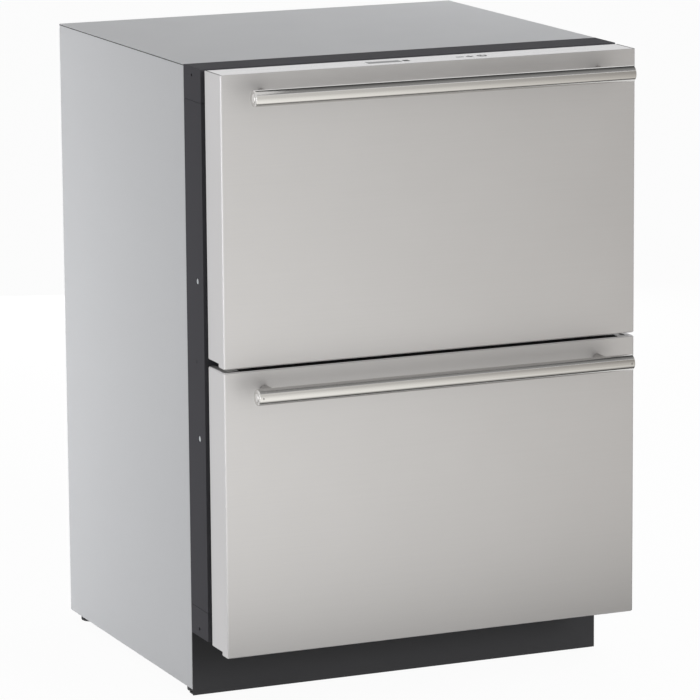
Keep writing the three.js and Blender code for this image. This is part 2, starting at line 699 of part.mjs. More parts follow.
/** The three members of a slide, in sections measured inwards from the wall that carries it. */
function slideSections() {
  const step = SLIDE_SHEET + SLIDE_PLAY;
  const outerWeb = FIT;
  const middleWeb = outerWeb + step;
  const drawerWeb = FIT + SLIDE_THICKNESS;
  const half = SLIDE_HEIGHT / 2;
  return {
    cabinet: channelSection(outerWeb, outerWeb + SLIDE_SHEET, drawerWeb - 3 * step, half),
    middle: channelSection(middleWeb, middleWeb + SLIDE_SHEET, drawerWeb - step, half - step),
    drawer: channelSection(drawerWeb, drawerWeb - SLIDE_SHEET, middleWeb + step, half - 2 * step),
  };
}

/** Adds one member of both slides of a drawer; the group's origin is on the drawer's middle line. */
function addSlidePair(parent, name, section) {
  for (const [side, x, turn] of [['left', -OPENING_X, 0], ['right', OPENING_X, Math.PI]]) {
    const member = frontExtrusion(section, both(SLIDE_LENGTH / 2));
    const place = [x, SLIDE_START + SLIDE_LENGTH / 2, 0];
    piece(parent, `${name}_${side}`, member, 'zinc', place).rotation.z = turn;
  }
}

// ---------------------------------------------------------------- drawer fronts

/** A drawer front's outer form, set in by a distance, from its face to a depth behind its rear face. */
function frontForm(height, inset, top, back) {
  const halfWidth = FRONT_WIDTH / 2 - inset;
  const faceY = -FRONT_THICKNESS + inset;
  const radius = FRONT_CORNER - inset / 2;
  const plan = new THREE.Shape();
  plan.absarc(-halfWidth + radius, faceY + radius, radius, Math.PI, (3 * Math.PI) / 2);
  plan.absarc(halfWidth - radius, faceY + radius, radius, (3 * Math.PI) / 2, 2 * Math.PI);
  plan.lineTo(halfWidth, back);
  plan.lineTo(-halfWidth, back);
  plan.closePath();
  const lipBack = -FRONT_THICKNESS + FRONT_LIP - inset;
  const sideView = [
    [-2 * FRONT_THICKNESS, inset],
    [lipBack, inset],
    [lipBack, REBATE_HEIGHT + inset],
    [FRONT_THICKNESS, REBATE_HEIGHT + inset],
    [FRONT_THICKNESS, top],
    [-2 * FRONT_THICKNESS, top],
  ];
  const column = extrude(plan, 2 * height).translate(0, 0, -height / 2);
  return common(column, sideExtrusion(sideView, both(FRONT_WIDTH)));
}

/** The folded steel skin of a drawer front, open to the rear and, for the strip, at the top. */
function frontSkin(height, hasStrip) {
  const innerTop = hasStrip ? height + FRONT_SHEET : height - FRONT_SHEET;
  const outside = frontForm(height, 0, height, 0);
  return cut(outside, frontForm(height, FRONT_SHEET, innerTop, FRONT_THICKNESS));
}

/** The insulated inner panel of a drawer front, with its raised middle that enters the opening. */
function innerPanel(height, hasStrip, [openingBottom, openingTop]) {
  const cover = hasStrip ? STRIP_THICKNESS : FRONT_SHEET;
  const core = frontForm(height, FRONT_SHEET + FIT, height - cover - FIT, 0);
  const plug = block(
    both(OPENING_X - PLUG_MARGIN),
    [-FRONT_SHEET, PLUG_DEPTH],
    [openingBottom + PLUG_MARGIN, openingTop - PLUG_MARGIN],
  );
  return join(core, plug);
}

/** The door gasket, one ring that presses on the frame round the opening. */
function gasketRing([openingBottom, openingTop]) {
  const ring = (reach, radius, Outline) =>
    roundedRectangle(both(OPENING_X + reach), [openingBottom - reach, openingTop + reach], radius, Outline);
  const outline = ring(GASKET_LAP + GASKET_WIDTH, GASKET_CORNER, THREE.Shape);
  outline.holes.push(ring(GASKET_LAP, GASKET_CORNER / 2, THREE.Path));
  return frontExtrusion(outline, [FIT, GASKET_THICKNESS - FIT]);
}

/** The control strip, the top slice of what fits inside the skin, with a slot for the display. */
function controlStrip() {
  const height = UPPER_FRONT_HEIGHT;
  const slice = block(both(FRONT_WIDTH), both(2 * FRONT_THICKNESS), [height - STRIP_THICKNESS, height]);
  const strip = common(frontForm(height, FRONT_SHEET + FIT, height, 0), slice);
  const slot = block(
    [DISPLAY_OFFSET - DISPLAY_WIDTH / 2 - FIT, DISPLAY_OFFSET + DISPLAY_WIDTH / 2 + FIT],
    both(DISPLAY_DEPTH / 2 + FIT).map((y) => y + STRIP_MIDDLE_Y),
    [height - 2 * STRIP_THICKNESS, height + STRIP_THICKNESS],
  );
  return cut(strip, slot);
}

/** The display's window, which lies in the strip's slot. */
function displayWindow() {
  return block(both(DISPLAY_WIDTH / 2), both(DISPLAY_DEPTH / 2), [-STRIP_THICKNESS, 0]);
}

// ---------------------------------------------------------------- handles

/** The handle's round bar: a tube with rounded rims, and a cap with a raised button in each end. */
function handleBar() {
  const end = HANDLE_LENGTH / 2;
  const rim = end - BUTTON_RISE;
  const button = BUTTON_DIAMETER / 2;
  const rimMiddle = [HANDLE_RADIUS - HANDLE_ROUNDING, rim - HANDLE_ROUNDING];
  const outwards = [
    ...quarterTurn(rimMiddle, [HANDLE_ROUNDING, HANDLE_ROUNDING]),
    [button, rim],
    ...quarterTurn([button - BUTTON_RISE, rim], [BUTTON_RISE, BUTTON_RISE]).slice(1),
    [0, end],
  ];
  const otherEnd = outwards.map(([r, x]) => [r, -x]).reverse();
  return turned([...otherEnd, ...outwards]).rotateY(Math.PI / 2);
}

/** A post from the drawer's face to the bar, hollowed at its end to seat on the bar. */
function handlePost() {
  const post = bar(AXIS_Y, POST_DIAMETER, [-HANDLE_REACH, -FIT]);
  const seat = bar(AXIS_X, HANDLE_DIAMETER + 2 * FIT, both(POST_DIAMETER));
  return cut(post, seat.translate(0, -HANDLE_REACH, 0));
}

function addHandle(drawer, name, frontHeight) {
  const handle = groupAt(drawer, 0, -FRONT_THICKNESS, frontHeight - HANDLE_DROP);
  piece(handle, `${name}_handle_bar`, handleBar(), 'polishedSteel', [0, -HANDLE_REACH, 0]);
  piece(handle, `${name}_handle_post_left`, handlePost(), 'polishedSteel', [-POST_SPACING / 2, 0, 0]);
  piece(handle, `${name}_handle_post_right`, handlePost(), 'polishedSteel', [POST_SPACING / 2, 0, 0]);
}

// ---------------------------------------------------------------- tubs

/** An upright block with rounded corners, as wide as a tub less an inset on each side. */
function tubForm([frontY, rearY], [bottom, top], inset) {
  const plan = roundedRectangle(both(TUB_X - inset), [frontY + inset, rearY - inset], TUB_CORNER - inset);
  return extrude(plan, top - bottom).translate(0, 0, bottom);
}

/** A tub of one or more joined bays, each with its own rear wall and floor, under one rim. */
function tub(bays, top) {
  const rearY = Math.max(...bays.map(({ rear }) => rear));
  const rim = block(both(TUB_X + TUB_RIM), [SLIDE_START, rearY + TUB_RIM], [top - TUB_SHEET, top]);
  const outer = bays.map(({ rear, floor }) => tubForm([SLIDE_START, rear], [floor, top], 0));
  const inner = bays.map(({ rear, floor }) =>
    tubForm([SLIDE_START, rear], [floor + TUB_SHEET, top + TUB_SHEET], TUB_SHEET),
  );
  return cut(join(...outer, rim), ...inner);
}

// ---------------------------------------------------------------- the two drawers

/** Everything that both drawers have. Heights in a drawer's group count from its front's bottom. */
function addDrawer(parent, spec) {
  const { name, bottom, height, opening, slideZ, hasStrip } = spec;
  const drawer = groupAt(parent, 0, FRONT_BACK_Y, bottom);
  const localOpening = opening.map((z) => z - bottom);
  piece(drawer, `${name}_front_skin`, frontSkin(height, hasStrip), 'brushedSteel');
  piece(drawer, `${name}_inner_panel`, innerPanel(height, hasStrip, localOpening), 'whitePlastic');
  piece(drawer, `${name}_gasket`, gasketRing(localOpening), 'rubber');
  addHandle(drawer, name, height);

  const sections = slideSections();
  const slides = groupAt(drawer, 0, 0, slideZ - bottom);
  addSlidePair(slides, `${name}_slide_cabinet_rail`, sections.cabinet);
  addSlidePair(slides, `${name}_slide_middle_rail`, sections.middle);
  addSlidePair(slides, `${name}_slide_drawer_rail`, sections.drawer);
  return drawer;
}

function addUpperDrawer(parent) {
  const drawer = addDrawer(parent, {
    name: 'upper',
    bottom: UPPER_FRONT_BOTTOM,
    height: UPPER_FRONT_HEIGHT,
    opening: [MULLION_TOP, OPENING_TOP],
    slideZ: MULLION_TOP + UPPER_SLIDE_RISE,
    hasStrip: true,
  });
  const bay = { rear: SLIDE_END - TUB_RIM, floor: MULLION_TOP + TUB_LIFT - UPPER_FRONT_BOTTOM };
  const top = OPENING_TOP - UPPER_TUB_HEADROOM - UPPER_FRONT_BOTTOM;
  piece(drawer, 'upper_tub', tub([bay], top), 'whitePlastic');

  piece(drawer, 'control_strip', controlStrip(), 'lightStrip');
  const displayPlace = [DISPLAY_OFFSET, STRIP_MIDDLE_Y, UPPER_FRONT_HEIGHT];
  piece(drawer, 'display_window', displayWindow(), 'smokedGlass', displayPlace);
}

function addLowerDrawer(parent) {
  const drawer = addDrawer(parent, {
    name: 'lower',
    bottom: LOWER_FRONT_BOTTOM,
    height: LOWER_FRONT_HEIGHT,
    opening: [OPENING_BOTTOM, MULLION_BOTTOM],
    slideZ: STEP_TOP + LOWER_SLIDE_RISE,
    hasStrip: false,
  });
  const deepBay = {
    rear: STEP_FRONT_Y - TUB_REAR_GAP - FRONT_BACK_Y,
    floor: OPENING_BOTTOM + TUB_LIFT - LOWER_FRONT_BOTTOM,
  };
  const shelfBay = { rear: SLIDE_END - TUB_RIM, floor: STEP_TOP + TUB_LIFT - LOWER_FRONT_BOTTOM };
  const top = MULLION_BOTTOM - LOWER_TUB_HEADROOM - LOWER_FRONT_BOTTOM;
  piece(drawer, 'lower_tub', tub([deepBay, shelfBay], top), 'whitePlastic');
}

// ---------------------------------------------------------------- levelling legs

/** A levelling leg: a pad on the floor and a stud that screws into the base pan. */
function levellingLeg() {
  const padRadius = LEG_PAD_DIAMETER / 2;
  const studRadius = LEG_STUD_DIAMETER / 2;
  const profile = [
    [0, 0],
    [padRadius - LEG_PAD_CHAMFER, 0],
    [padRadius, LEG_PAD_CHAMFER],
    [padRadius, LEG_PAD_HEIGHT - LEG_PAD_CHAMFER],
    [padRadius - LEG_PAD_CHAMFER, LEG_PAD_HEIGHT],
    [studRadius, LEG_PAD_HEIGHT],
    [studRadius, LEG_LENGTH],
    [0, LEG_LENGTH],
  ];
  return turned(profile, SMALL_SEGMENTS);
}

function addLegs(parent) {
  for (const [name, x, y] of legPlaces()) {
    piece(parent, name, levellingLeg(), 'blackPlastic', [x, y, 0]);
  }
}

// ---------------------------------------------------------------- cooling machinery

/** A path through given points, one step of an extrusion to each point. */
class Route extends THREE.Curve {
  constructor(points) {
    super();
    this.points = points;
  }

  getPoint(t) {
    const place = t * (this.points.length - 1);
    const index = Math.min(Math.floor(place), this.points.length - 2);
    return this.points[index].clone().lerp(this.points[index + 1], place - index);
  }

  getPointAt(u) {
    return this.getPoint(u);
  }

  getTangentAt(u) {
    const index = Math.round(u * (this.points.length - 1));
    const before = this.points[Math.max(index - 1, 0)];
    const after = this.points[Math.min(index + 1, this.points.length - 1)];
    return after.clone().sub(before).normalize();
  }
}

/** The middle line of a serpentine tube: level runs along X that climb by one pitch at each bend. */
function serpentine(halfRun, runs) {
  const points = [];
  for (let run = 0; run < runs; run += 1) {
    const side = run % 2 === 0 ? 1 : -1;
    const z = run * COIL_PITCH;
    points.push(new THREE.Vector3(-side * halfRun, 0, z));
    if (run === runs - 1) {
      points.push(new THREE.Vector3(side * halfRun, 0, z));
      break;
    }
    for (let step = 0; step < BEND_STEPS; step += 1) {
      const angle = (Math.PI * step) / BEND_STEPS;
      const x = side * (halfRun + (COIL_PITCH / 2) * Math.sin(angle));
      points.push(new THREE.Vector3(x, 0, z + (COIL_PITCH / 2) * (1 - Math.cos(angle))));
    }
  }
  return points;
}

/** A coil of serpentine tube through upright fins; its underside is at z = 0 and its middle at y = 0. */
function finnedCoil(width, height, depth, finCount) {
  const runs = Math.floor((height - COIL_PITCH) / COIL_PITCH) + 1;
  const halfRun = width / 2 - COIL_PITCH / 2 - COIL_TUBE_DIAMETER;
  const route = new Route(serpentine(halfRun, runs));
  const section = new THREE.Shape().absarc(0, 0, COIL_TUBE_DIAMETER / 2, 0, 2 * Math.PI);
  const tube = new THREE.ExtrudeGeometry(section, {
    steps: route.points.length - 1,
    extrudePath: route,
    curveSegments: CORNER_SEGMENTS + 1,
    bevelEnabled: false,
  });
  tube.translate(0, 0, (height - (runs - 1) * COIL_PITCH) / 2);
  const finReach = halfRun - COIL_TUBE_DIAMETER;
  const fins = [];
  for (let index = 0; index < finCount; index += 1) {
    const x = -finReach + (2 * finReach * index) / (finCount - 1);
    fins.push(block([x - FIN_THICKNESS / 2, x + FIN_THICKNESS / 2], both(depth / 2), [0, height]));
  }
  return join(tube, ...fins);
}

/** A fan's rotor: a hub with pitched blades, bored from behind for the motor's shaft. Its axis is Y. */
function fanRotor(diameter, chord) {
  const hub = bar(AXIS_Y, HUB_DIAMETER, both(HUB_DEPTH / 2));
  const blades = [];
  const root = HUB_DIAMETER / 2 - FAN_BLADE_SHEET;
  const tip = diameter / 2;
  for (let index = 0; index < FAN_BLADES; index += 1) {
    const blade = block([root, tip], both(FAN_BLADE_SHEET / 2), both(chord / 2));
    blade.rotateX(FAN_BLADE_PITCH);
    blade.rotateY((2 * Math.PI * index) / FAN_BLADES);
    blades.push(blade);
  }
  const rim = bar(AXIS_Y, diameter, both(HUB_DEPTH));
  const boreReach = [HUB_DEPTH / 2 - HUB_BORE_DEPTH, HUB_DEPTH];
  const bore = bar(AXIS_Y, SHAFT_DIAMETER + 2 * FIT, boreReach, SMALL_SEGMENTS);
  return cut(common(join(hub, ...blades), rim), bore);
}

/** How far each strut of a fan's motor is turned about the fan's axis; the first one points down. */
function strutTurns() {
  return Array.from({ length: STRUTS }, (_, index) => Math.PI / 2 + (2 * Math.PI * index) / STRUTS);
}

/** The motor behind a rotor, its shaft, and struts that reach out to a radius. */
function fanMotor(reach) {
  const motor = bar(AXIS_Y, MOTOR_DIAMETER, [MOTOR_FRONT, MOTOR_FRONT + MOTOR_DEPTH]);
  const shaftReach = [HUB_DEPTH / 2 - HUB_BORE_DEPTH + FIT, MOTOR_FRONT + FAN_TIP_GAP];
  const shaft = bar(AXIS_Y, SHAFT_DIAMETER, shaftReach, SMALL_SEGMENTS);
  const depth = [MOTOR_FRONT, MOTOR_FRONT + STRUT_THICKNESS];
  const struts = strutTurns().map((turn) => block([0, reach], depth, both(STRUT_WIDTH / 2)).rotateY(turn));
  return [motor, shaft, ...struts];
}

/** The condenser fan's square shroud with its motor, standing on its lower edge at z = 0. */
function condenserShroud() {
  const half = CONDENSER_HOLE_RADIUS + FAN_RING_WALL;
  const front = -FAN_RING_DEPTH / 2;
  const back = MOTOR_FRONT + STRUT_THICKNESS;
  const frame = block(both(half), [front, back], both(half));
  const hole = bar(AXIS_Y, 2 * CONDENSER_HOLE_RADIUS, [front - FAN_RING_DEPTH, back + FAN_RING_DEPTH]);
  const motor = fanMotor(CONDENSER_HOLE_RADIUS + FAN_RING_WALL / 2);
  return join(cut(frame, hole), ...motor).translate(0, 0, half);
}

/** A hermetic compressor: a pot with domed ends on a mounting plate with four rubber feet. */
function compressor() {
  const radius = COMPRESSOR_DIAMETER / 2;
  const plateBottom = COMPRESSOR_FOOT_HEIGHT;
  const potBottom = plateBottom + COMPRESSOR_PLATE_SHEET / 2;
  const pot = turned([
    ...quarterTurn([0, potBottom + COMPRESSOR_DOME], [radius, -COMPRESSOR_DOME]).reverse(),
    ...quarterTurn([0, COMPRESSOR_HEIGHT - COMPRESSOR_DOME], [radius, COMPRESSOR_DOME]),
  ]);
  const seamDiameter = COMPRESSOR_DIAMETER + 2 * COMPRESSOR_SEAM_WIDTH;
  const seam = bar(AXIS_Z, seamDiameter, both(COMPRESSOR_SEAM_HEIGHT / 2));
  seam.translate(0, 0, COMPRESSOR_HEIGHT / 2);

  const halfWidth = COMPRESSOR_PLATE_WIDTH / 2;
  const halfDepth = COMPRESSOR_PLATE_DEPTH / 2;
  const plan = roundedRectangle(both(halfWidth), both(halfDepth), COMPRESSOR_FOOT_DIAMETER / 2);
  const plate = extrude(plan, COMPRESSOR_PLATE_SHEET).translate(0, 0, plateBottom);
  const feet = both(halfWidth - COMPRESSOR_FOOT_INSET).flatMap((x) =>
    both(halfDepth - COMPRESSOR_FOOT_INSET).map((y) =>
      bar(AXIS_Z, COMPRESSOR_FOOT_DIAMETER, [0, potBottom], SMALL_SEGMENTS).translate(x, y, 0),
    ),
  );
  return join(pot, plate, seam, ...feet);
}

/** The slots along the lower edge of the evaporator's cover, to be cut from its front. */
function coverSlots() {
  const run = 2 * (COVER_X - COVER_SLOT_MARGIN);
  const count = Math.floor(run / COVER_SLOT_PITCH) + 1;
  const bottom = COVER_SLOT_RISE - COVER_HEIGHT;
  const slots = [];
  for (let index = 0; index < count; index += 1) {
    const x = (index - (count - 1) / 2) * COVER_SLOT_PITCH;
    const width = both(COVER_SLOT_WIDTH / 2).map((end) => end + x);
    slots.push(block(width, [-2 * COVER_DEPTH, -COVER_DEPTH / 2], [bottom, bottom + COVER_SLOT_HEIGHT]));
  }
  return slots;
}

/** The evaporator's cover: a shallow box open to the rear, which carries the fan's motor on posts. */
function evaporatorCover() {
  const outside = block(both(COVER_X), [-COVER_DEPTH, -FIT], [-COVER_HEIGHT, 0]);
  const inside = block(
    both(COVER_X - COVER_SHEET),
    [COVER_SHEET - COVER_DEPTH, FIT],
    [COVER_SHEET - COVER_HEIGHT, -COVER_SHEET],
  );
  const hole = bar(AXIS_Y, 2 * EVAPORATOR_HOLE_RADIUS, [-2 * COVER_DEPTH, -COVER_DEPTH / 2]);
  hole.translate(0, 0, -EVAPORATOR_FAN_DROP);

  const postRadius = EVAPORATOR_HOLE_RADIUS + FAN_RING_WALL + STRUT_WIDTH / 2;
  const postReach = [COVER_SHEET / 2 - COVER_DEPTH - EVAPORATOR_ROTOR_Y, MOTOR_FRONT + STRUT_THICKNESS];
  const posts = strutTurns().map((turn) =>
    bar(AXIS_Y, STRUT_WIDTH, postReach, SMALL_SEGMENTS).translate(postRadius, 0, 0).rotateY(turn),
  );
  const motor = fanMotor(postRadius + STRUT_WIDTH / 2);
  const place = [0, EVAPORATOR_ROTOR_Y, -EVAPORATOR_FAN_DROP];
  const placed = [...motor, ...posts].map((shape) => shape.translate(...place));
  return join(cut(outside, inside, hole, ...coverSlots()), ...placed);
}

function addMachinery(parent) {
  const floor = BASE_TOP + FIT;
  const compartment = groupAt(parent, 0, (COMPARTMENT_FRONT_Y + REAR_PANEL_Y) / 2, floor);
  piece(compartment, 'compressor', compressor(), 'motorBlack', [COMPRESSOR_X, 0, 0]);

  const condenserY = COMPARTMENT_FRONT_Y + CONDENSER_DEPTH / 2 + TUB_REAR_GAP;
  const condenser = groupAt(parent, CONDENSER_X, condenserY, floor);
  const coil = finnedCoil(CONDENSER_WIDTH, CONDENSER_HEIGHT, CONDENSER_DEPTH, CONDENSER_FINS);
  piece(condenser, 'condenser_coil', coil, 'copper');
  const fanY = CONDENSER_DEPTH / 2 + FAN_RING_DEPTH / 2 + FIT;
  const fan = groupAt(condenser, 0, fanY, 0);
  piece(fan, 'condenser_fan_motor', condenserShroud(), 'motorBlack');
  const rotor = fanRotor(CONDENSER_FAN_DIAMETER, CONDENSER_FAN_CHORD);
  piece(fan, 'condenser_fan_blade', rotor, 'aluminium', [0, 0, CONDENSER_HOLE_RADIUS + FAN_RING_WALL]);

  const coverTop = OPENING_TOP - COVER_DROP;
  const evaporator = groupAt(parent, 0, LINER_REAR_Y, coverTop);
  piece(evaporator, 'evaporator_cover', evaporatorCover(), 'whitePlastic');
  const coldCoil = finnedCoil(EVAPORATOR_WIDTH, EVAPORATOR_HEIGHT, EVAPORATOR_DEPTH, EVAPORATOR_FINS);
  const coilPlace = [0, -EVAPORATOR_DEPTH / 2 - FIT, COVER_SHEET + FIT - COVER_HEIGHT];
  piece(evaporator, 'evaporator_coil', coldCoil, 'aluminium', coilPlace);
  const coldRotor = fanRotor(EVAPORATOR_FAN_DIAMETER, EVAPORATOR_FAN_CHORD);
  const rotorPlace = [0, EVAPORATOR_ROTOR_Y, -EVAPORATOR_FAN_DROP];
  piece(evaporator, 'evaporator_fan_blade', coldRotor, 'whitePlastic', rotorPlace);
}

// ---------------------------------------------------------------- small inner parts

/** The condensate pan, an open tray. */
function drainPan() {
  const left = PAN_INSET - HALF_WIDTH;
  const right = BOARD_X - BOARD_WIDTH / 2 - PAN_GAP;
  const outside = block([left, right], [0, PAN_DEPTH], [0, PAN_HEIGHT]);
  const inside = block(
    [left + PAN_SHEET, right - PAN_SHEET],
    [PAN_SHEET, PAN_DEPTH - PAN_SHEET],
    [PAN_SHEET, 2 * PAN_HEIGHT],
  );
  return cut(outside, inside);
}

/** The control board in its housing, with a cable boss at its rear. */
function controlBox() {
  const plan = roundedRectangle(both(BOARD_WIDTH / 2), [0, BOARD_DEPTH], BOARD_CORNER);
  const bossReach = [BOARD_DEPTH - BOARD_CORNER, BOARD_DEPTH + BOARD_BOSS_LENGTH];
  const boss = bar(AXIS_Y, BOARD_BOSS_DIAMETER, bossReach, SMALL_SEGMENTS);
  return join(extrude(plan, BOARD_HEIGHT), boss.translate(0, 0, BOARD_HEIGHT / 2));
}

/** The lamp, a bar with a lens that is rounded below. */
function lampBar() {
  const half = LAMP_DEPTH / 2;
  const section = new THREE.Shape();
  const lensTop = LAMP_LENS_HEIGHT - LAMP_HEIGHT;
  section.moveTo(-half, 0);
  section.lineTo(-half, lensTop);
  section.absellipse(0, lensTop, half, LAMP_LENS_HEIGHT, Math.PI, 2 * Math.PI, false, 0);
  section.lineTo(half, 0);
  section.closePath();
  return extrude(section, LAMP_WIDTH).applyMatrix4(SIDE_VIEW).translate(-LAMP_WIDTH / 2, 0, 0);
}

function addSmallParts(parent) {
  const plenum = groupAt(parent, 0, SHELL_FRONT_Y + PLENUM_SETBACK, BASE_TOP + FIT);
  piece(plenum, 'drain_pan', drainPan(), 'blackPlastic');
  piece(plenum, 'control_box', controlBox(), 'blackPlastic', [BOARD_X, 0, 0]);
  const lampPlace = [0, FRAME_FRONT_Y + LAMP_SETBACK, OPENING_TOP - FIT];
  piece(parent, 'lamp_bar', lampBar(), 'lamp', lampPlace);
}

// ---------------------------------------------------------------- the whole refrigerator

const refrigerator = new THREE.Group();
const cabinet = groupAt(refrigerator, 0, 0, 0);
addShell(cabinet);
piece(cabinet, 'insulation_foam', insulation(), 'foam');
piece(cabinet, 'inner_liner', innerLiner(), 'whitePlastic');
addFrame(cabinet);
addMachinery(cabinet);
addSmallParts(cabinet);
addUpperDrawer(refrigerator);
addLowerDrawer(refrigerator);
addLegs(refrigerator);

export default refrigerator;
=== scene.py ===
# %% [markdown]
# # An undercounter refrigerator with two drawers
#
# The construction is already there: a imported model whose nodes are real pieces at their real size, in
# metres. This lesson adds what a photographer would see: finishes, rounded edges, threads, fins and
# seals. Each step says what the piece is on the real refrigerator, how it could be made, and why it was
# made this way.

# %% The fixed frame
import json
import math

import bmesh
import bpy
import numpy as np
from mathutils import Matrix, Vector

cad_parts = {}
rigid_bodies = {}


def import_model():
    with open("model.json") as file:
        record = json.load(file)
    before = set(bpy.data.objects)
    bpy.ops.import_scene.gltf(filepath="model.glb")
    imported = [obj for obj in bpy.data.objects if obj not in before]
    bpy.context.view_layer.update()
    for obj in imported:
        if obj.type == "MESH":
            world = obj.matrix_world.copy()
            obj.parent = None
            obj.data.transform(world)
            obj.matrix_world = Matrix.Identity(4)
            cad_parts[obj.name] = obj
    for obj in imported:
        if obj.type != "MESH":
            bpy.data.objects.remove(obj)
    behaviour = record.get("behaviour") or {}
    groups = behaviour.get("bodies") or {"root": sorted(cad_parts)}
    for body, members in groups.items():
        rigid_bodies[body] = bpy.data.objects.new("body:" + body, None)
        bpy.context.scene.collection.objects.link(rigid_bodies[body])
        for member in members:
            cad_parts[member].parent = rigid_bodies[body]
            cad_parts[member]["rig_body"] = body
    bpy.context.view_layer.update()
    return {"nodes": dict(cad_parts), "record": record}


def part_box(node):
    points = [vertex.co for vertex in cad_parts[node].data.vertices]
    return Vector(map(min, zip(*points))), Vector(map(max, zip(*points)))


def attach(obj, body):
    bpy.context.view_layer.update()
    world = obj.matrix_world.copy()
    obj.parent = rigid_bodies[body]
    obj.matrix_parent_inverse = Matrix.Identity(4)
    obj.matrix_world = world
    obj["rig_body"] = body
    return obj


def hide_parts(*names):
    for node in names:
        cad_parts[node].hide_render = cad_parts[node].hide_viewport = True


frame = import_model()
scene = bpy.context.scene

# %% [markdown]
# ## The camera
#
# A product photographer stands well back and uses a long lens, which keeps the cabinet's uprights nearly
# parallel. The place, the direction and the lens below were worked out from the cabinet's corners. A
# shifted lens would make the uprights quite parallel, but the lens here isn't shifted, so that it also
# suits views from other sides, and the uprights still lean together a little.

# %% Where the camera stands
CAMERA_PLACE = Vector((-2.471, -5.699, 1.662))
CAMERA_AZIMUTH = math.radians(-23.42)
CAMERA_ELEVATION = math.radians(11.23)
CAMERA_ROLL = math.radians(-0.44)
CAMERA_LENS = 233.2  # mm, on a sensor 36 mm wide


def camera_turn(azimuth, elevation, roll):
    """The camera's axes as columns: right, up and back. Back points from the scene to the camera."""
    right = Vector((math.cos(azimuth), math.sin(azimuth), 0))
    level = math.cos(elevation)
    back = Vector((math.sin(azimuth) * level, -math.cos(azimuth) * level, math.sin(elevation)))
    up = back.cross(right)
    rolled_right = math.cos(roll) * right + math.sin(roll) * up
    rolled_up = math.cos(roll) * up - math.sin(roll) * right
    return Matrix((rolled_right, rolled_up, back)).transposed()


lens = bpy.data.cameras.new("camera")
lens.sensor_width = 36
lens.lens = CAMERA_LENS
camera = bpy.data.objects.new("camera", lens)
scene.collection.objects.link(camera)
camera.matrix_world = Matrix.LocRotScale(
    CAMERA_PLACE, camera_turn(CAMERA_AZIMUTH, CAMERA_ELEVATION, CAMERA_ROLL).to_quaternion(), None
)
scene.camera = camera
print("camera:", round(CAMERA_PLACE.length, 2), "m from the origin")

# %% [markdown]
# ## Shader maths as expressions
#
# A finish is mostly arithmetic on patterns: a mask, one minus a mask, a mask times a colour. Drawing that
# in the node editor takes dozens of boxes, so a small class wraps a socket and lets Python's own
# operators add the Math nodes. Every other kind of node comes from one method of a second class, which
# stands for the node tree. A third one is a material, with the few patterns that all finishes here are
# made of.

# %% A socket that can be used in a sum
WHITE = (1, 1, 1, 1)
BLACK = (0, 0, 0, 1)


class Wire:
    """The output socket of a node. Arithmetic on it adds Math nodes to the same tree."""

    def __init__(self, shader, socket):
        self.shader = shader
        self.socket = socket

    def other(self, name):
        """Another output of the same node."""
        return Wire(self.shader, self.socket.node.outputs[name])

    def math(self, operation, first, second):
        return self.shader.add("ShaderNodeMath", {"operation": operation}, {0: first, 1: second})

    def __add__(self, value):
        return self.math("ADD", self, value)

    def __sub__(self, value):
        return self.math("SUBTRACT", self, value)

    def __rsub__(self, value):
        return self.math("SUBTRACT", value, self)

    def __mul__(self, value):
        return self.math("MULTIPLY", self, value)

    __radd__ = __add__
    __rmul__ = __mul__


print("sums of sockets: plus, minus, times")

# %% A node tree
class Shader:
    """A node tree, with one method that adds any node and one that fills a socket."""

    def __init__(self, tree):
        self.tree = tree

    def fill(self, socket, value):
        if isinstance(value, Wire):
            self.tree.links.new(value.socket, socket)
        else:
            socket.default_value = value

    def add(self, kind, settings=None, sockets=None, output=0):
        """Adds a node: first its settings, then the values or links of its sockets. Returns one output."""
        node = self.tree.nodes.new(kind)
        for name, value in (settings or {}).items():
            setattr(node, name, value)
        for key, value in (sockets or {}).items():
            self.fill(node.inputs[key], value)
        return Wire(self, node.outputs[output])

    def mix(self, factor, first, second):
        """A colour between two colours."""
        sockets = {0: factor, 6: first, 7: second}
        return self.add("ShaderNodeMix", {"data_type": "RGBA"}, sockets, output=2)

    def clamp(self, value):
        return self.add("ShaderNodeClamp", None, {0: value})


print("a node tree takes nodes by their type")

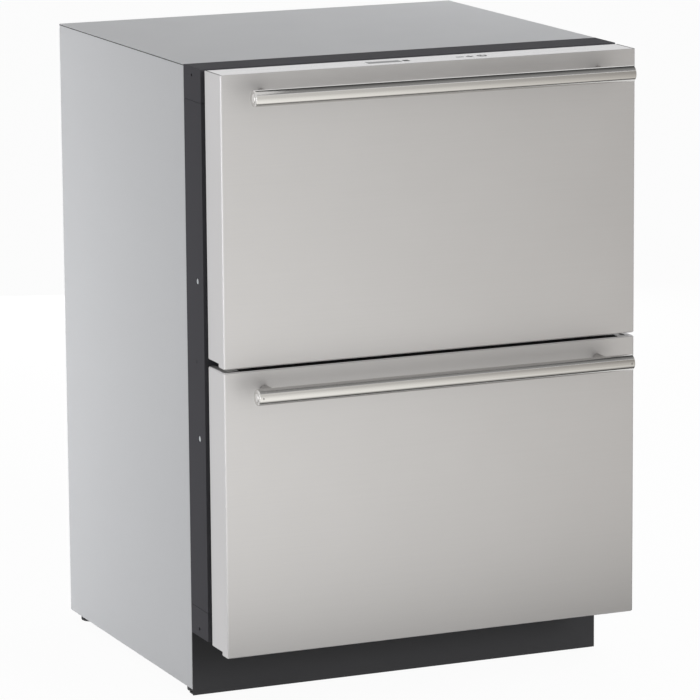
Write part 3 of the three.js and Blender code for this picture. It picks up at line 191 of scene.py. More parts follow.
# %% A material
class Finish(Shader):
    """A material with a Principled shader, whose patterns are set out in metres on the object itself."""

    def __init__(self, name, colour, roughness, **constants):
        self.material = bpy.data.materials.new(name)
        self.material.use_nodes = True
        super().__init__(self.material.node_tree)
        self.surface = self.tree.nodes["Principled BSDF"]
        self.colour = colour
        self.roughness = roughness
        self.set(**{"Base Color": self.tint(1), "Roughness": roughness, **constants})

    def set(self, **sockets):
        """Fills sockets of the Principled shader."""
        for name, value in sockets.items():
            self.fill(self.surface.inputs[name], value)

    def show(self, wire):
        """Shows another shader in the place of the Principled one."""
        self.fill(self.tree.nodes["Material Output"].inputs["Surface"], wire)

    def tint(self, factor):
        """The finish's own colour times a factor."""
        return (*[min(level * factor, 1) for level in self.colour], 1)

    def place(self):
        """The point on the object, in metres."""
        return self.add("ShaderNodeTexCoord", output="Object")

    def stretched(self, scale):
        """The point with each axis scaled, so that a pattern can be drawn out along one direction."""
        return self.add("ShaderNodeMapping", None, {"Vector": self.place(), "Scale": scale})

    def axes(self):
        """The point's x, y and z as three values."""
        split = self.add("ShaderNodeSeparateXYZ", None, {"Vector": self.place()})
        return [split.other(axis) for axis in "XYZ"]

    def noise(self, scale, detail=3.0, vector=None):
        """Cloudy noise between 0 and 1; scale is in cells per metre."""
        sockets = {"Vector": vector or self.place(), "Scale": scale, "Detail": detail}
        return self.add("ShaderNodeTexNoise", None, sockets)

    def cells(self, scale, output):
        """Cells round scattered points; scale is in cells per metre. Gives their Distance or their Color."""
        sockets = {"Vector": self.place(), "Scale": scale}
        return self.add("ShaderNodeTexVoronoi", {"feature": "F1"}, sockets, output)

    def vary(self, pattern, spread):
        """Lets the colour swing about its own value by a spread, as a pattern goes from 0 to 1."""
        self.set(**{"Base Color": self.mix(pattern, self.tint(1 - spread), self.tint(1 + spread))})

    def dull(self, pattern, spread):
        """Lets the roughness swing about its own value by a spread, as a pattern goes from 0 to 1."""
        self.set(Roughness=pattern * (2 * spread) + (self.roughness - spread))

    def bump(self, height, depth):
        """Raises the surface by a pattern, whose full height is a depth in metres."""
        self.set(Normal=self.add("ShaderNodeBump", None, {"Height": height, "Distance": depth}))


print("a finish can vary its colour, its roughness and its surface's height")

# %% [markdown]
# ## The studio
#
# The refrigerator was photographed on white. The floor is a pale plane. Where the camera or a reflection
# looks at it, most of it is plain white light, and the rest is its own lit surface, so that it keeps a
# faint shadow. The world behind it is white too. Light on the object itself comes from soft lamps, so
# white in the background never means more light on the cabinet.

# %% World
AMBIENT = 0.42  # light that the world gives to surfaces


def looked_at(shader):
    """1 where a ray comes from the camera, a reflection or something see-through, and 0 elsewhere."""
    camera_ray = shader.add("ShaderNodeLightPath", output="Is Camera Ray")
    glossy_ray = camera_ray.other("Is Glossy Ray")
    through_ray = camera_ray.other("Is Transmission Ray")
    return shader.clamp(camera_ray + glossy_ray + through_ray)


def make_world():
    world = bpy.data.worlds.new("studio")
    world.use_nodes = True
    scene.world = world
    shader = Shader(world.node_tree)
    background = world.node_tree.nodes["Background"]
    shader.fill(background.inputs["Color"], WHITE)
    shader.fill(background.inputs["Strength"], looked_at(shader) * (1 - AMBIENT) + AMBIENT)


scene.view_settings.view_transform = "Standard"
make_world()
print("world: white to look at, and", AMBIENT, "as light")

# %% Floor
FLOOR_COLOUR = (0.86, 0.86, 0.86)
FLOOR_WHITE = 0.95  # share of the floor that is plain white to the camera
FLOOR_REACH = 20  # metres to each side of the object


def level_sheet(x, y, z):
    """Four corners of a level sheet between two values of x and two of y."""
    return [(x[0], y[0], z), (x[1], y[0], z), (x[1], y[1], z), (x[0], y[1], z)]


def stage_sheet(name, points, finish):
    """Puts flat sheets of four points each round the object. They are no part of it."""
    mesh = bpy.data.meshes.new(name)
    mesh.from_pydata(points, [], [tuple(range(start, start + 4)) for start in range(0, len(points), 4)])
    mesh.materials.append(finish.material)
    sheet = bpy.data.objects.new(name, mesh)
    scene.collection.objects.link(sheet)
    return sheet


def make_floor():
    finish = Finish("studio_floor", FLOOR_COLOUR, 0.9)
    glow = finish.add("ShaderNodeEmission", None, {"Color": WHITE, "Strength": 1.0})
    lit = Wire(finish, finish.surface.outputs[0])
    share = looked_at(finish) * FLOOR_WHITE
    finish.show(finish.add("ShaderNodeMixShader", None, {0: share, 1: lit, 2: glow}))
    reach = (-FLOOR_REACH, FLOOR_REACH)
    return stage_sheet("floor", level_sheet(reach, reach, 0), finish)


print("floor:", 2 * make_floor().data.vertices[1].co.x, "m across")

# %% [markdown]
# ## Lamps, and the cards that steel mirrors
#
# Paint shows the light that falls on it, and steel shows what stands round it. So the lamps are set for
# the painted cabinet: one low on the left, one in front, one on the right just above the top, and one
# behind. Reflections don't see them. The steel gets cards that only reflections see, as a photographer
# hangs sheets of paper just out of the picture: a sheet in front that turns darker to the right, with a
# shaded foot near the cabinet, a grey one overhead on the right, and a bright one far to the left.

# %% Soft lamps
LAMPS = [  # name, place, size in metres, watts
    ("side_lamp", (-1.5, 1.3, 0.12), 0.8, 28),
    ("front_lamp", (2.6, -5.8, 2.1), 1.8, 230),
    ("top_lamp", (1.0, 0.8, 1.35), 0.6, 5),
    ("rear_lamp", (0.9, 2.6, 0.6), 1.2, 19),
]
AIM = Vector((0, 0, 0.45))


def add_lamp(name, place, size, watts):
    light = bpy.data.lights.new(name, "AREA")
    light.shape = "SQUARE"
    light.size = size
    light.energy = watts
    lamp = bpy.data.objects.new(name, light)
    direction = AIM - Vector(place)
    lamp.matrix_world = Matrix.LocRotScale(Vector(place), direction.to_track_quat("-Z", "Y"), None)
    lamp.visible_glossy = lamp.visible_camera = False
    scene.collection.objects.link(lamp)


for lamp in LAMPS:
    add_lamp(*lamp)
print("lamps:", [name for name, *_ in LAMPS])

# %% A card, and light that changes across it
def upright_sheet(start, end, top):
    """Four corners of a sheet that stands on the floor between two (x, y) points."""
    return [(*start, 0), (*end, 0), (*end, top), (*start, top)]


def glow_card(name, points, colour):
    """A sheet that shines in a colour, which may be a pattern, and that only reflections see."""
    finish = Finish(name, (0.5, 0.5, 0.5), 1.0)
    finish.show(finish.add("ShaderNodeEmission", None, {"Color": colour(finish)}))
    card = stage_sheet(name, points, finish)
    card.visible_camera = card.visible_diffuse = card.visible_shadow = False
    return card


def share_between(shader, value, start, end):
    """0 where a value is at its start, 1 at its end, and straight between them."""
    return shader.clamp((value - start) * (1 / (end - start)))


def level_between(shader, value, stops):
    """The first level at the first place, the second at the second, and straight between them."""
    (start, first), (end, second) = stops
    return share_between(shader, value, start, end) * (second - first) + first


print("cards can be level or upright")

# %% The front sheet
SHEET_X = (-1.4, 2.6)
SHEET_Y = (-1.4, -0.3)  # it stands at the first, and its foot reaches to the second
SHEET_TOP = 1.7
SHEET_FOOT_Z = 0.002  # just above the floor
SHEET_STOPS = [(-0.25, (1.45, 1.44, 1.4, 1)), (1.25, (0.62, 0.59, 0.55, 1))]  # x, and the colour there
SHADE_STOPS = [(-0.4, 0.04), (-0.74, 1.0)]  # y on the floor, and the share of light there
FADE_STOPS = [(0.1, 1.02), (0.9, 0.68)]  # height on the sheet, and the share of light there


def front_colour(shader):
    x, y, z = shader.axes()
    (left, bright), (right, grey) = SHEET_STOPS
    across = shader.mix(share_between(shader, x, left, right), bright, grey)
    shade = level_between(shader, y, SHADE_STOPS) * level_between(shader, z, FADE_STOPS)
    return shader.mix(shade, BLACK, across)


sheet_foot = level_sheet(SHEET_X, SHEET_Y, SHEET_FOOT_Z)
sheet_wall = upright_sheet((SHEET_X[0], SHEET_Y[0]), (SHEET_X[1], SHEET_Y[0]), SHEET_TOP)
card = glow_card("front_sheet", sheet_foot + sheet_wall, front_colour)
print(card.name, "spans x", SHEET_X)

# %% The cards overhead and on the left
TOP_X, TOP_Y, TOP_Z = (0.15, 1.8), (-1.6, 1.0), 2.2
TOP_STOPS = [(-0.9, 0.36), (0.3, 0.06)]  # y overhead, and the level there
LEFT_START, LEFT_END, LEFT_TOP = (-2, -1.4), (-2, -0.75), 1.3
LEFT_COLOUR = (4.0, 4.0, 4.2, 1)


def top_colour(shader):
    y = shader.axes()[1]
    return shader.mix(level_between(shader, y, TOP_STOPS), BLACK, WHITE)


def left_colour(shader):
    return LEFT_COLOUR


top_card = glow_card("top_card", level_sheet(TOP_X, TOP_Y, TOP_Z), top_colour)
left_card = glow_card("left_card", upright_sheet(LEFT_START, LEFT_END, LEFT_TOP), left_colour)
print("cards:", top_card.name, left_card.name)

# %% [markdown]
# ## Finishes
#
# Every finish has its own small pattern at its real scale: the brush marks of the fronts run across them
# and are a fraction of a millimetre wide, paint has a fine orange peel, moulded plastic a grain, zinc its
# crystals and foam its cells. A picture could be laid on each, but it would repeat and blur. None of it
# is painted light: the patterns only change colour, roughness and the surface's height.

# %% Brushed metal
BRUSH_CELLS = 2600  # per metre, across the marks
BRUSH_STRETCH = 400  # how far the marks are drawn out
BRUSH_CLOUD = 9  # cells per metre


def brushed_metal(name, colour, roughness, along, depth=0.000012):
    """Metal with brush marks: fine noise that is drawn out along one axis, and a broad cloud over it."""
    finish = Finish(name, colour, roughness, Metallic=1.0)
    scale = [1.0, 1.0, 1.0]
    scale["XYZ".index(along)] = 1 / BRUSH_STRETCH
    marks = finish.noise(BRUSH_CELLS, 2.0, finish.stretched(scale))
    cloud = finish.noise(BRUSH_CLOUD)
    finish.vary(marks * 0.55 + cloud * 0.45, 0.07)
    finish.dull(marks * 0.6 + cloud * 0.4, 0.05)
    finish.bump(marks, depth)
    return finish.material


print("brush marks:", round(1000 / BRUSH_CELLS, 2), "mm apart")

# %% Painted sheet
PEEL_DEPTH = 0.00004
PAINT_CLOUD = 14  # cells per metre


def painted_sheet(name, colour, roughness, peel=420, gloss=0.5):
    """Paint on sheet steel: an orange peel of so many cells per metre, and a faint cloud in its colour."""
    finish = Finish(name, colour, roughness, **{"Specular IOR Level": gloss})
    cloud = finish.noise(PAINT_CLOUD, 4.0)
    fine = finish.noise(peel * 2, 2.0)
    finish.vary(cloud * 0.6 + fine * 0.4, 0.03)
    finish.dull(cloud, 0.05)
    finish.bump(finish.noise(peel, 2.0), PEEL_DEPTH)
    return finish.material


print("orange peel:", PEEL_DEPTH * 1000, "mm deep")

# %% Moulded plastic and rubber
MOULDED_GRAIN = 900  # cells per metre
MOULDED_CLOUD = 12


def moulded(name, colour, roughness, depth=0.00003, gloss=0.5):
    """Moulded plastic: a fine grain in its surface and a faint cloud in its colour."""
    finish = Finish(name, colour, roughness, **{"Specular IOR Level": gloss})
    grain = finish.noise(MOULDED_GRAIN, 2.0)
    cloud = finish.noise(MOULDED_CLOUD)
    finish.vary(cloud * 0.7 + grain * 0.3, 0.05)
    finish.dull(grain * 0.5 + cloud * 0.5, 0.06)
    finish.bump(grain, depth)
    return finish.material


print("grain:", round(1000 / MOULDED_GRAIN, 1), "mm apart")

# %% Zinc and foam
ZINC_CRYSTALS = 160.0  # cells per metre, as for the next four
ZINC_CLOUD = 30
ZINC_GRAIN = 900
FOAM_CELLS = 900.0
FOAM_CLOUD = 25


def galvanized(name):
    """Zinc on steel: crystals some millimetres across, each with its own tone."""
    finish = Finish(name, (0.52, 0.54, 0.56), 0.38, Metallic=0.85)
    crystals = finish.cells(ZINC_CRYSTALS, "Color")
    tone = finish.add("ShaderNodeSeparateColor", None, {0: crystals})
    finish.vary(tone * 0.7 + finish.noise(ZINC_CLOUD) * 0.3, 0.16)
    finish.dull(tone, 0.08)
    finish.bump(finish.noise(ZINC_GRAIN), 0.00001)
    return finish.material


def rigid_foam(name):
    """Foam in the walls: a cream colour with open cells about a millimetre across."""
    finish = Finish(name, (0.78, 0.7, 0.45), 0.95)
    finish.vary(finish.noise(FOAM_CLOUD), 0.1)
    finish.bump(finish.cells(FOAM_CELLS, "Distance"), 0.0004)
    return finish.material


print("crystals:", round(1000 / ZINC_CRYSTALS, 1), "mm, foam cells:", round(1000 / FOAM_CELLS, 1), "mm")

# %% The finishes by name
finishes = {
    "silver_paint": painted_sheet("silver_paint", (0.5, 0.507, 0.522), 0.45, gloss=0.3),
    "brushed_steel": brushed_metal("brushed_steel", (0.592, 0.585, 0.588), 0.5, "X", 0.00003),
    "polished_steel": brushed_metal("polished_steel", (0.6, 0.59, 0.575), 0.1, "X"),
    # painted shade: the posts' steel is darker than the bars', and stands for the shade on the posts
    "post_steel_painted_shade": brushed_metal("post_steel_painted_shade", (0.38, 0.37, 0.36), 0.3, "Y"),
    "black_frame": painted_sheet("black_frame", (0.067, 0.066, 0.073), 0.6, peel=700, gloss=0.02),
    "kick_plate_paint": painted_sheet("kick_plate_paint", (0.025, 0.025, 0.027), 0.5, peel=500, gloss=0.3),
    "galvanized_steel": galvanized("galvanized_steel"),
    "white_plastic": moulded("white_plastic", (0.8, 0.8, 0.79), 0.35),
    "black_plastic": moulded("black_plastic", (0.018, 0.018, 0.02), 0.5),
    "gasket_rubber": moulded("gasket_rubber", (0.012, 0.012, 0.013), 0.7, gloss=0.15),
    "control_strip": brushed_metal("control_strip", (0.58, 0.575, 0.58), 0.28, "X"),
    "display_glass": moulded("display_glass", (0.05, 0.052, 0.055), 0.3, depth=0.0, gloss=0.25),
    "key_print": moulded("key_print", (0.04, 0.04, 0.042), 0.5, depth=0.0, gloss=0.3),
    "lamp": moulded("lamp", (0.9, 0.91, 0.92), 0.3),
    "compressor_paint": painted_sheet("compressor_paint", (0.02, 0.02, 0.022), 0.35, peel=900),
    "motor_housing": moulded("motor_housing", (0.025, 0.025, 0.028), 0.45),
    "copper_coil": brushed_metal("copper_coil", (0.72, 0.36, 0.2), 0.3, "X"),
    "aluminium_coil": brushed_metal("aluminium_coil", (0.82, 0.83, 0.84), 0.42, "Z"),
    "fan_aluminium": brushed_metal("fan_aluminium", (0.7, 0.71, 0.72), 0.35, "X"),
    "foam": rigid_foam("foam"),
}
finishes["foamed_panel"] = finishes["white_plastic"]
print("finishes:", len(finishes))

# %% [markdown]
# ## Every node gets its finish
#
# The model's record says which material slot each node has. A slot is the name of a finish, so each node
# is dressed by its slot, and a piece that later takes a node's place can take its finish over.

# %% Dressing the CAD nodes
slot_of = {part["node"]: part["material_slot"] for part in frame["record"]["subparts"]}
for node, obj in frame["nodes"].items():
    obj.data.materials.clear()
    obj.data.materials.append(finishes[slot_of[node]])
print("dressed", len(slot_of), "nodes")

# %% [markdown]
# ## Making surfaces from formulas
#
# Most pieces below are a surface with two parameters: one runs along the piece and one round it. numpy
# works out the whole grid of points at once, and the grid's neighbours become the faces. A copy of a CAD
# solid with rounded edges is the other way: it suits plain panels, whose shape is already right apart
# from their razor edges.

# %% Grids
def grid_faces(rows, columns, wrap):
    """The quads of a grid: point (i, j) with its neighbours (i, j + 1), (i + 1, j + 1) and (i + 1, j)."""
    steps = columns if wrap else columns - 1
    i, j = np.meshgrid(np.arange(rows - 1), np.arange(steps), indexing="ij")
    after = (j + 1) % columns
    quads = [i * columns + j, i * columns + after, (i + 1) * columns + after, (i + 1) * columns + j]
    return np.stack(quads, axis=-1).reshape(-1, 4)


def surface(grid, wrap=False, caps=False):
    """The points and faces of a grid of shape (rows, columns, 3). A cap closes each end with one face."""
    rows, columns, _ = grid.shape
    faces = grid_faces(rows, columns, wrap).tolist()
    if caps:
        faces += [list(range(columns)), list(range((rows - 1) * columns, rows * columns))]
    return grid.reshape(-1, 3), faces


def merged(*parts):
    """Several (points, faces) pairs as one."""
    points, faces, start = [], [], 0
    for part_points, part_faces in parts:
        points.append(part_points)
        faces += [[index + start for index in face] for face in part_faces]
        start += len(part_points)
    return np.concatenate(points), faces


print("a grid of 3 by 4 points, closed round, has", len(grid_faces(3, 4, True)), "faces")

# %% Pieces
WELD = 1e-6  # points closer than this become one
CREASE = 35  # degrees; an edge sharper than this stays sharp


def make_object(name, mesh, crease):
    """Smooths a mesh apart from edges sharper than an angle in degrees, and puts it in the scene."""
    mesh.shade_smooth()
    mesh.set_sharp_from_angle(angle=math.radians(crease))
    piece = bpy.data.objects.new(name, mesh)
    scene.collection.objects.link(piece)
    return piece


def shape_piece(name, points, faces, crease=CREASE, outwards=True):
    """An object from points and faces, with doubled points merged and its faces turned outwards."""
    mesh = bpy.data.meshes.new(name)
    mesh.from_pydata(points.tolist(), [], faces)
    build = bmesh.new()
    build.from_mesh(mesh)
    bmesh.ops.remove_doubles(build, verts=build.verts, dist=WELD)
    if outwards:
        bmesh.ops.recalc_face_normals(build, faces=build.faces)
    build.to_mesh(mesh)
    build.free()
    return make_object(name, mesh, crease)


def dress(piece, node, finish=None):
    """Puts a piece in the place of a CAD node: same body, same slot, and same finish unless one is given."""
    piece.data.materials.clear()
    piece.data.materials.append(finishes[finish or slot_of[node]])
    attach(piece, frame["nodes"][node]["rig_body"])
    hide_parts(node)
    return piece


def add_detail(piece, body, finish):
    """Puts a small extra piece on a body."""
    piece.data.materials.clear()
    piece.data.materials.append(finishes[finish])
    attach(piece, body)
    return piece


def corners(node):
    """A node's lowest and highest corner as arrays."""
    low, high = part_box(node)
    return np.array(low), np.array(high)


print("the upper front spans", *corners("upper_front_skin"))

# %% [markdown]
# ## Drawer fronts
#
# Each front is a skin of brushed steel folded round a foamed panel. Its upright edges are folded to a
# radius of 2.5 mm, which catches a bright line of light, and its bottom steps up behind a lip. A bevelled
# box would have neither the lip nor the hem, so the skin is its plan, carried up a profile: the plan is
# drawn in where the profile folds inwards. The upper skin stays open at its top, where the control strip
# closes it. A smoothed surface bends its reflections between its points, and the face has points only at
# its folds, so a last modifier lets each large flat area keep its own direction.

# %% Plan and folds
FRONT_RADIUS = 0.0025
FOLD_RADIUS = 0.0012
LIP_DEPTH = 0.018
ARC_POINTS = 10
FOLD_POINTS = 5


def front_plan(low, high, inset):
    """Plan of a front as (rows, columns) arrays of x and y: a side, a corner, the face, a corner and a side.

    Each corner is a quarter circle whose radius is the front's radius less the inset."""
    radius = np.maximum(FRONT_RADIUS - inset, WELD * 10)
    turn = np.linspace(0, math.pi / 2, ARC_POINTS)
    corner_x = low[0] + inset + radius * (1 - np.cos(turn))
    corner_y = low[1] + inset + radius * (1 - np.sin(turn))
    lip_y = low[1] + LIP_DEPTH
    side_y = np.ones_like(inset) * np.array([high[1], lip_y, lip_y])
    side_x = low[0] + inset + 0 * side_y
    x = np.hstack([side_x, corner_x])
    y = np.hstack([side_y, corner_y])
    return np.hstack([x, -x[:, ::-1]]), np.hstack([y, y[:, ::-1]])


def fold(start, end):
    """A quarter fold as (inset, height) rows, from one corner of its square to the opposite one."""
    turn = np.linspace(0, math.pi / 2, FOLD_POINTS)
    insets = start[0] + (end[0] - start[0]) * np.sin(turn)
    heights = start[1] + (end[1] - start[1]) * (1 - np.cos(turn))
    return np.column_stack([insets, heights])


print("folds:", FRONT_RADIUS * 1000, "mm upright,", FOLD_RADIUS * 1000, "mm level")

# %% Folded skins
HEM = 0.009  # how far the folded edge reaches inwards
REBATE = 0.005  # how far the bottom steps up behind its lip
SKIN_SHEET = 0.001


def front_skin(node, folded_top):
    """A front's skin: z is the profile's height, and its lower edge is higher behind the lip."""
    low, high = corners(node)
    height = high[2] - low[2]
    profile = [np.array([[HEM, 0]]), fold((0, FOLD_RADIUS), (FOLD_RADIUS, 0))[::-1]]
    if folded_top:
        profile += [fold((0, height - FOLD_RADIUS), (FOLD_RADIUS, height)), np.array([[HEM, height]])]
    else:
        profile += [np.array([[0, height]])]
    inset, rise = np.vstack(profile).T[:, :, None]
    x, y = front_plan(low, high, inset)
    behind_lip = np.ones(x.shape[1], bool)
    behind_lip[2:-2] = False  # two points on each side lie behind the lip
    raised = np.where(behind_lip & (rise < height / 2), REBATE, 0)
    grid = np.stack([x, y, low[2] + rise + raised], axis=-1)
    skin = shape_piece(f"{node}_folded", *surface(grid), outwards=False)
    wall = skin.modifiers.new("sheet", "SOLIDIFY")
    wall.thickness = SKIN_SHEET
    wall.offset = -1
    normals = skin.modifiers.new("normals", "WEIGHTED_NORMAL")
    normals.weight = 80
    normals.keep_sharp = True
    return dress(skin, node)


for node, folded_top in (("upper_front_skin", False), ("lower_front_skin", True)):
    skin = front_skin(node, folded_top)
    print(skin.name, len(skin.data.polygons), "faces")

# %% [markdown]
# ## Handles
#
# A handle is a polished tube between two posts. A button with a domed face closes each end of the tube,
# and the tube's own rim is rounded. A cylinder with a bevel would come near it, but the real one is
# turned work, so one profile is carried round the bar's axis. The lower bar shows the small grub screws
# that hold it.

# %% Turned pieces
AXIS_ORDER = {"X": (0, 1, 2), "Y": (1, 2, 0), "Z": (2, 0, 1)}  # the axis itself, and the two across it


def turned(profile, middle, axis, segments):
    """A profile of (distance along the axis, radius) rows, turned about an axis through a middle."""
    along, radius = np.array(profile).T[:, :, None]
    angle = np.linspace(0, 2 * math.pi, segments, endpoint=False)
    order = AXIS_ORDER[axis]
    grid = np.zeros((len(along), segments, 3))
    grid[..., order[0]] = along
    grid[..., order[1]] = radius * np.cos(angle)
    grid[..., order[2]] = radius * np.sin(angle)
    return surface(grid + np.array(middle), wrap=True)


def quarter(start, reach, steps=6):
    """Rows of a quarter ellipse: the first value grows with the sine, the second falls with the cosine."""
    turn = np.linspace(0, math.pi / 2, steps)
    return list(zip(start[0] + reach[0] * np.sin(turn), start[1] + reach[1] * np.cos(turn)))


print("a quarter ellipse has", len(quarter((0, 0), (1, 1))), "rows")

# %% Bars
HANDLE_ROUNDING = 0.0015
BUTTON_RADIUS = 0.0065
BUTTON_RISE = 0.002


def handle_bar(node):
    """A tube: a rounded rim, a flat end, and on it a button that is half an ellipse."""
    low, high = corners(node)
    radius = (high[2] - low[2]) / 2
    middle = (0, (low[1] + high[1]) / 2, (low[2] + high[2]) / 2)
    end = high[0] - BUTTON_RISE
    rim = quarter((end - HANDLE_ROUNDING, radius - HANDLE_ROUNDING), (HANDLE_ROUNDING, HANDLE_ROUNDING))
    button = quarter((end, 0), (BUTTON_RISE, BUTTON_RADIUS), 8)[1:]
    half = rim + [(end, BUTTON_RADIUS)] + button
    other = [(-along, out) for along, out in half][::-1]
    return dress(shape_piece(f"{node}_tube", *turned(other + half, middle, "X", 96)), node)


print("buttons:", round(2000 * BUTTON_RADIUS, 1), "mm across")

# %% Posts, and both handles
POST_FOOT = 0.0006  # small chamfer where the post meets the front


def handle_post(node):
    """A round post from the face to the middle of the bar, with a small chamfer at its foot."""
    low, high = corners(node)
    radius = (high[0] - low[0]) / 2
    middle = ((low[0] + high[0]) / 2, 0, (low[2] + high[2]) / 2)
    face, end = high[1], low[1]
    profile = [(face, 0), (face, radius - POST_FOOT), (face - POST_FOOT, radius), (end, radius), (end, 0)]
    return dress(shape_piece(f"{node}_round", *turned(profile, middle, "Y", 48)), node, finish="post_steel_painted_shade")


for level in ("upper", "lower"):
    bar = handle_bar(f"{level}_handle_bar")
    posts = [handle_post(f"{level}_handle_post_{side}") for side in ("left", "right")]
    print(bar.name, "on", len(posts), "posts")

# %% Grub screws in the lower bar
GRUB_RADIUS = 0.0013
GRUB_INSET = 0.0055  # from the end of the tube
GRUB_PROFILE = [  # depth behind the bar's front line, and share of the radius
    (0.002, 0), (0.002, 1), (0.0001, 1), (0, 0.85), (0, 0.5), (0.0009, 0.5), (0.0009, 0),
]


def grub_screw(side, x, front, level):
    """A short rod whose end is chamfered and has a round socket."""
    profile = [(front + depth, share * GRUB_RADIUS) for depth, share in GRUB_PROFILE]
    screw = shape_piece(f"grub_screw_{side}", *turned(profile, (x, 0, level), "Y", 24))
    return add_detail(screw, "lower_drawer", "black_plastic")


low, high = corners("lower_handle_bar")
grub_x = {"left": low[0] + GRUB_INSET + BUTTON_RISE, "right": high[0] - GRUB_INSET - BUTTON_RISE}
for side, x in grub_x.items():
    print(grub_screw(side, x, low[1], (low[2] + high[2]) / 2).name, "at x", round(x, 4))

# %% [markdown]
# ## Sheet metal and mouldings with softened edges
#
# Panels, rails and boxes are folded from sheet or moulded in a tool, and none has a razor edge. Their
# shape in the model is right, so each gets a copy whose loose triangles are merged, whose flat areas
# become one face again, and whose edges a Bevel modifier rounds to the radius that the real part has: a
# few tenths of a millimetre on thin sheet, about one millimetre on mouldings.

# %% A softened copy
FLAT_ANGLE = math.radians(1)
EDGE_ANGLE = math.radians(40)


def softened(node, width):
    """A merged copy of a CAD solid whose edges are rounded to a width."""
    mesh = frame["nodes"][node].data.copy()
    build = bmesh.new()
    build.from_mesh(mesh)
    bmesh.ops.remove_doubles(build, verts=build.verts, dist=WELD)
    bmesh.ops.dissolve_limit(build, angle_limit=FLAT_ANGLE, verts=build.verts, edges=build.edges)
    build.to_mesh(mesh)
    build.free()
    piece = make_object(f"{node}_soft", mesh, CREASE)
    bevel = piece.modifiers.new("edges", "BEVEL")
    bevel.width = width
    bevel.segments = 2
    bevel.limit_method = "ANGLE"
    bevel.angle_limit = EDGE_ANGLE
    bevel.harden_normals = True
    return dress(piece, node)


print("edges sharper than", round(math.degrees(EDGE_ANGLE)), "degrees are rounded")

# %% Panels, rails and mouldings
EDGE_WIDTHS = {  # metres
    "top_panel": 0.0003,
    "left_side_panel": 0.0004,
    "right_side_panel": 0.0004,
    "rear_panel": 0.0003,
    "base_pan": 0.0003,
    "kick_plate": 0.0008,
    "frame_top_rail": 0.0008,
    "frame_bottom_rail": 0.0008,
    "frame_left_stile": 0.0008,
    "frame_right_stile": 0.0008,
    "center_mullion": 0.0008,
    "inner_liner": 0.0008,
    "upper_inner_panel": 0.0015,
    "lower_inner_panel": 0.0015,
    "upper_tub": 0.0007,
    "lower_tub": 0.0007,
    "control_strip": 0.0009,
    "display_window": 0.0003,
    "control_box": 0.0015,
    "drain_pan": 0.0005,
    "evaporator_cover": 0.0008,
    "lamp_bar": 0.0008,
    "cord_gland": 0.0006,
    "condenser_fan_motor": 0.0012,
}
for node, width in EDGE_WIDTHS.items():
    softened(node, width)
print("softened panels and mouldings:", len(EDGE_WIDTHS))

# %% Slide members
RAIL_EDGE = 0.00025
for level in ("upper", "lower"):
    for member in ("cabinet", "middle", "drawer"):
        for side in ("left", "right"):
            softened(f"{level}_slide_{member}_rail_{side}", RAIL_EDGE)
print("softened slide members, edges of", RAIL_EDGE * 1000, "mm")

# %% [markdown]
# ## Marks on the control strip
#
# The strip's keys are touch keys under printed marks. Each mark is a raised print two tenths of a
# millimetre thick: a minus, a plus and a power ring, which are the plain signs of their kind, and three
# dashes beside the display. A pattern in the material could draw them, but a print that has a thickness
# stays sharp close by.

# %% A line of print
PRINT_RISE = 0.0002
PRINT_SINK = 0.0004  # how far the print reaches down into the strip
PRINT_LINE = 0.0026
RING_POINTS = 28


def stroke(path):
    """A line of print along a path of (x, y) rows: two edges at half a line's width to each side, from just
    inside the strip up to the print's height."""
    path = np.array(path, float)
    along = np.gradient(path, axis=0)
    along /= np.linalg.norm(along, axis=1, keepdims=True)
    out = np.column_stack([-along[:, 1], along[:, 0]]) * PRINT_LINE / 2
    strip_top = corners("control_strip")[1][2]
    edges = [path + out, path - out, path - out, path + out]
    heights = [strip_top + PRINT_RISE] * 2 + [strip_top - PRINT_SINK] * 2
    rings = [np.column_stack([edge, np.full(len(path), height)]) for edge, height in zip(edges, heights)]
    return surface(np.stack(rings, axis=1), wrap=True, caps=True)


def ring_path(middle, radius, start, end):
    """Points of an arc about a middle, between two angles in degrees."""
    turn = np.radians(np.linspace(start, end, RING_POINTS))
    return np.column_stack([middle[0] + radius * np.cos(turn), middle[1] + radius * np.sin(turn)])


def line_path(middle, half_x, half_y):
    """Three points on a straight line through a middle."""
    x, y = middle
    return [(x - half_x, y - half_y), (x, y), (x + half_x, y + half_y)]


print("print:", PRINT_LINE * 1000, "mm wide lines")

# %% The marks
STRIP_MIDDLE_Y = -0.2463
MINUS, PLUS, POWER, DASHES = [(x, STRIP_MIDDLE_Y) for x in (0.054, 0.068, 0.086, -0.025)]
SIGN_HALF = (0.0052, 0.0056)  # half the length of a line along the strip, and of one across it
POWER_RADIUS = 0.0058
POWER_TURN = (130, 410)  # degrees; the ring is open towards the back
POWER_LINE = (0.0008, 0.004, 0.0072)  # how far behind the ring's middle the short line's points lie
DASH_HALF = 0.0042
DASH_STEP = 0.004

marks = [
    stroke(line_path(MINUS, SIGN_HALF[0], 0)),
    stroke(line_path(PLUS, SIGN_HALF[0], 0)),
    stroke(line_path(PLUS, 0, SIGN_HALF[1])),
    stroke(ring_path(POWER, POWER_RADIUS, *POWER_TURN)),
    stroke([(POWER[0], POWER[1] + rise) for rise in POWER_LINE]),
]
for row in (-1, 0, 1):
    marks.append(stroke(line_path((DASHES[0], DASHES[1] + row * DASH_STEP), DASH_HALF, 0)))
prints = shape_piece("strip_prints", *merged(*marks))
add_detail(prints, "upper_drawer", "key_print")
print("prints:", len(marks), "strokes")
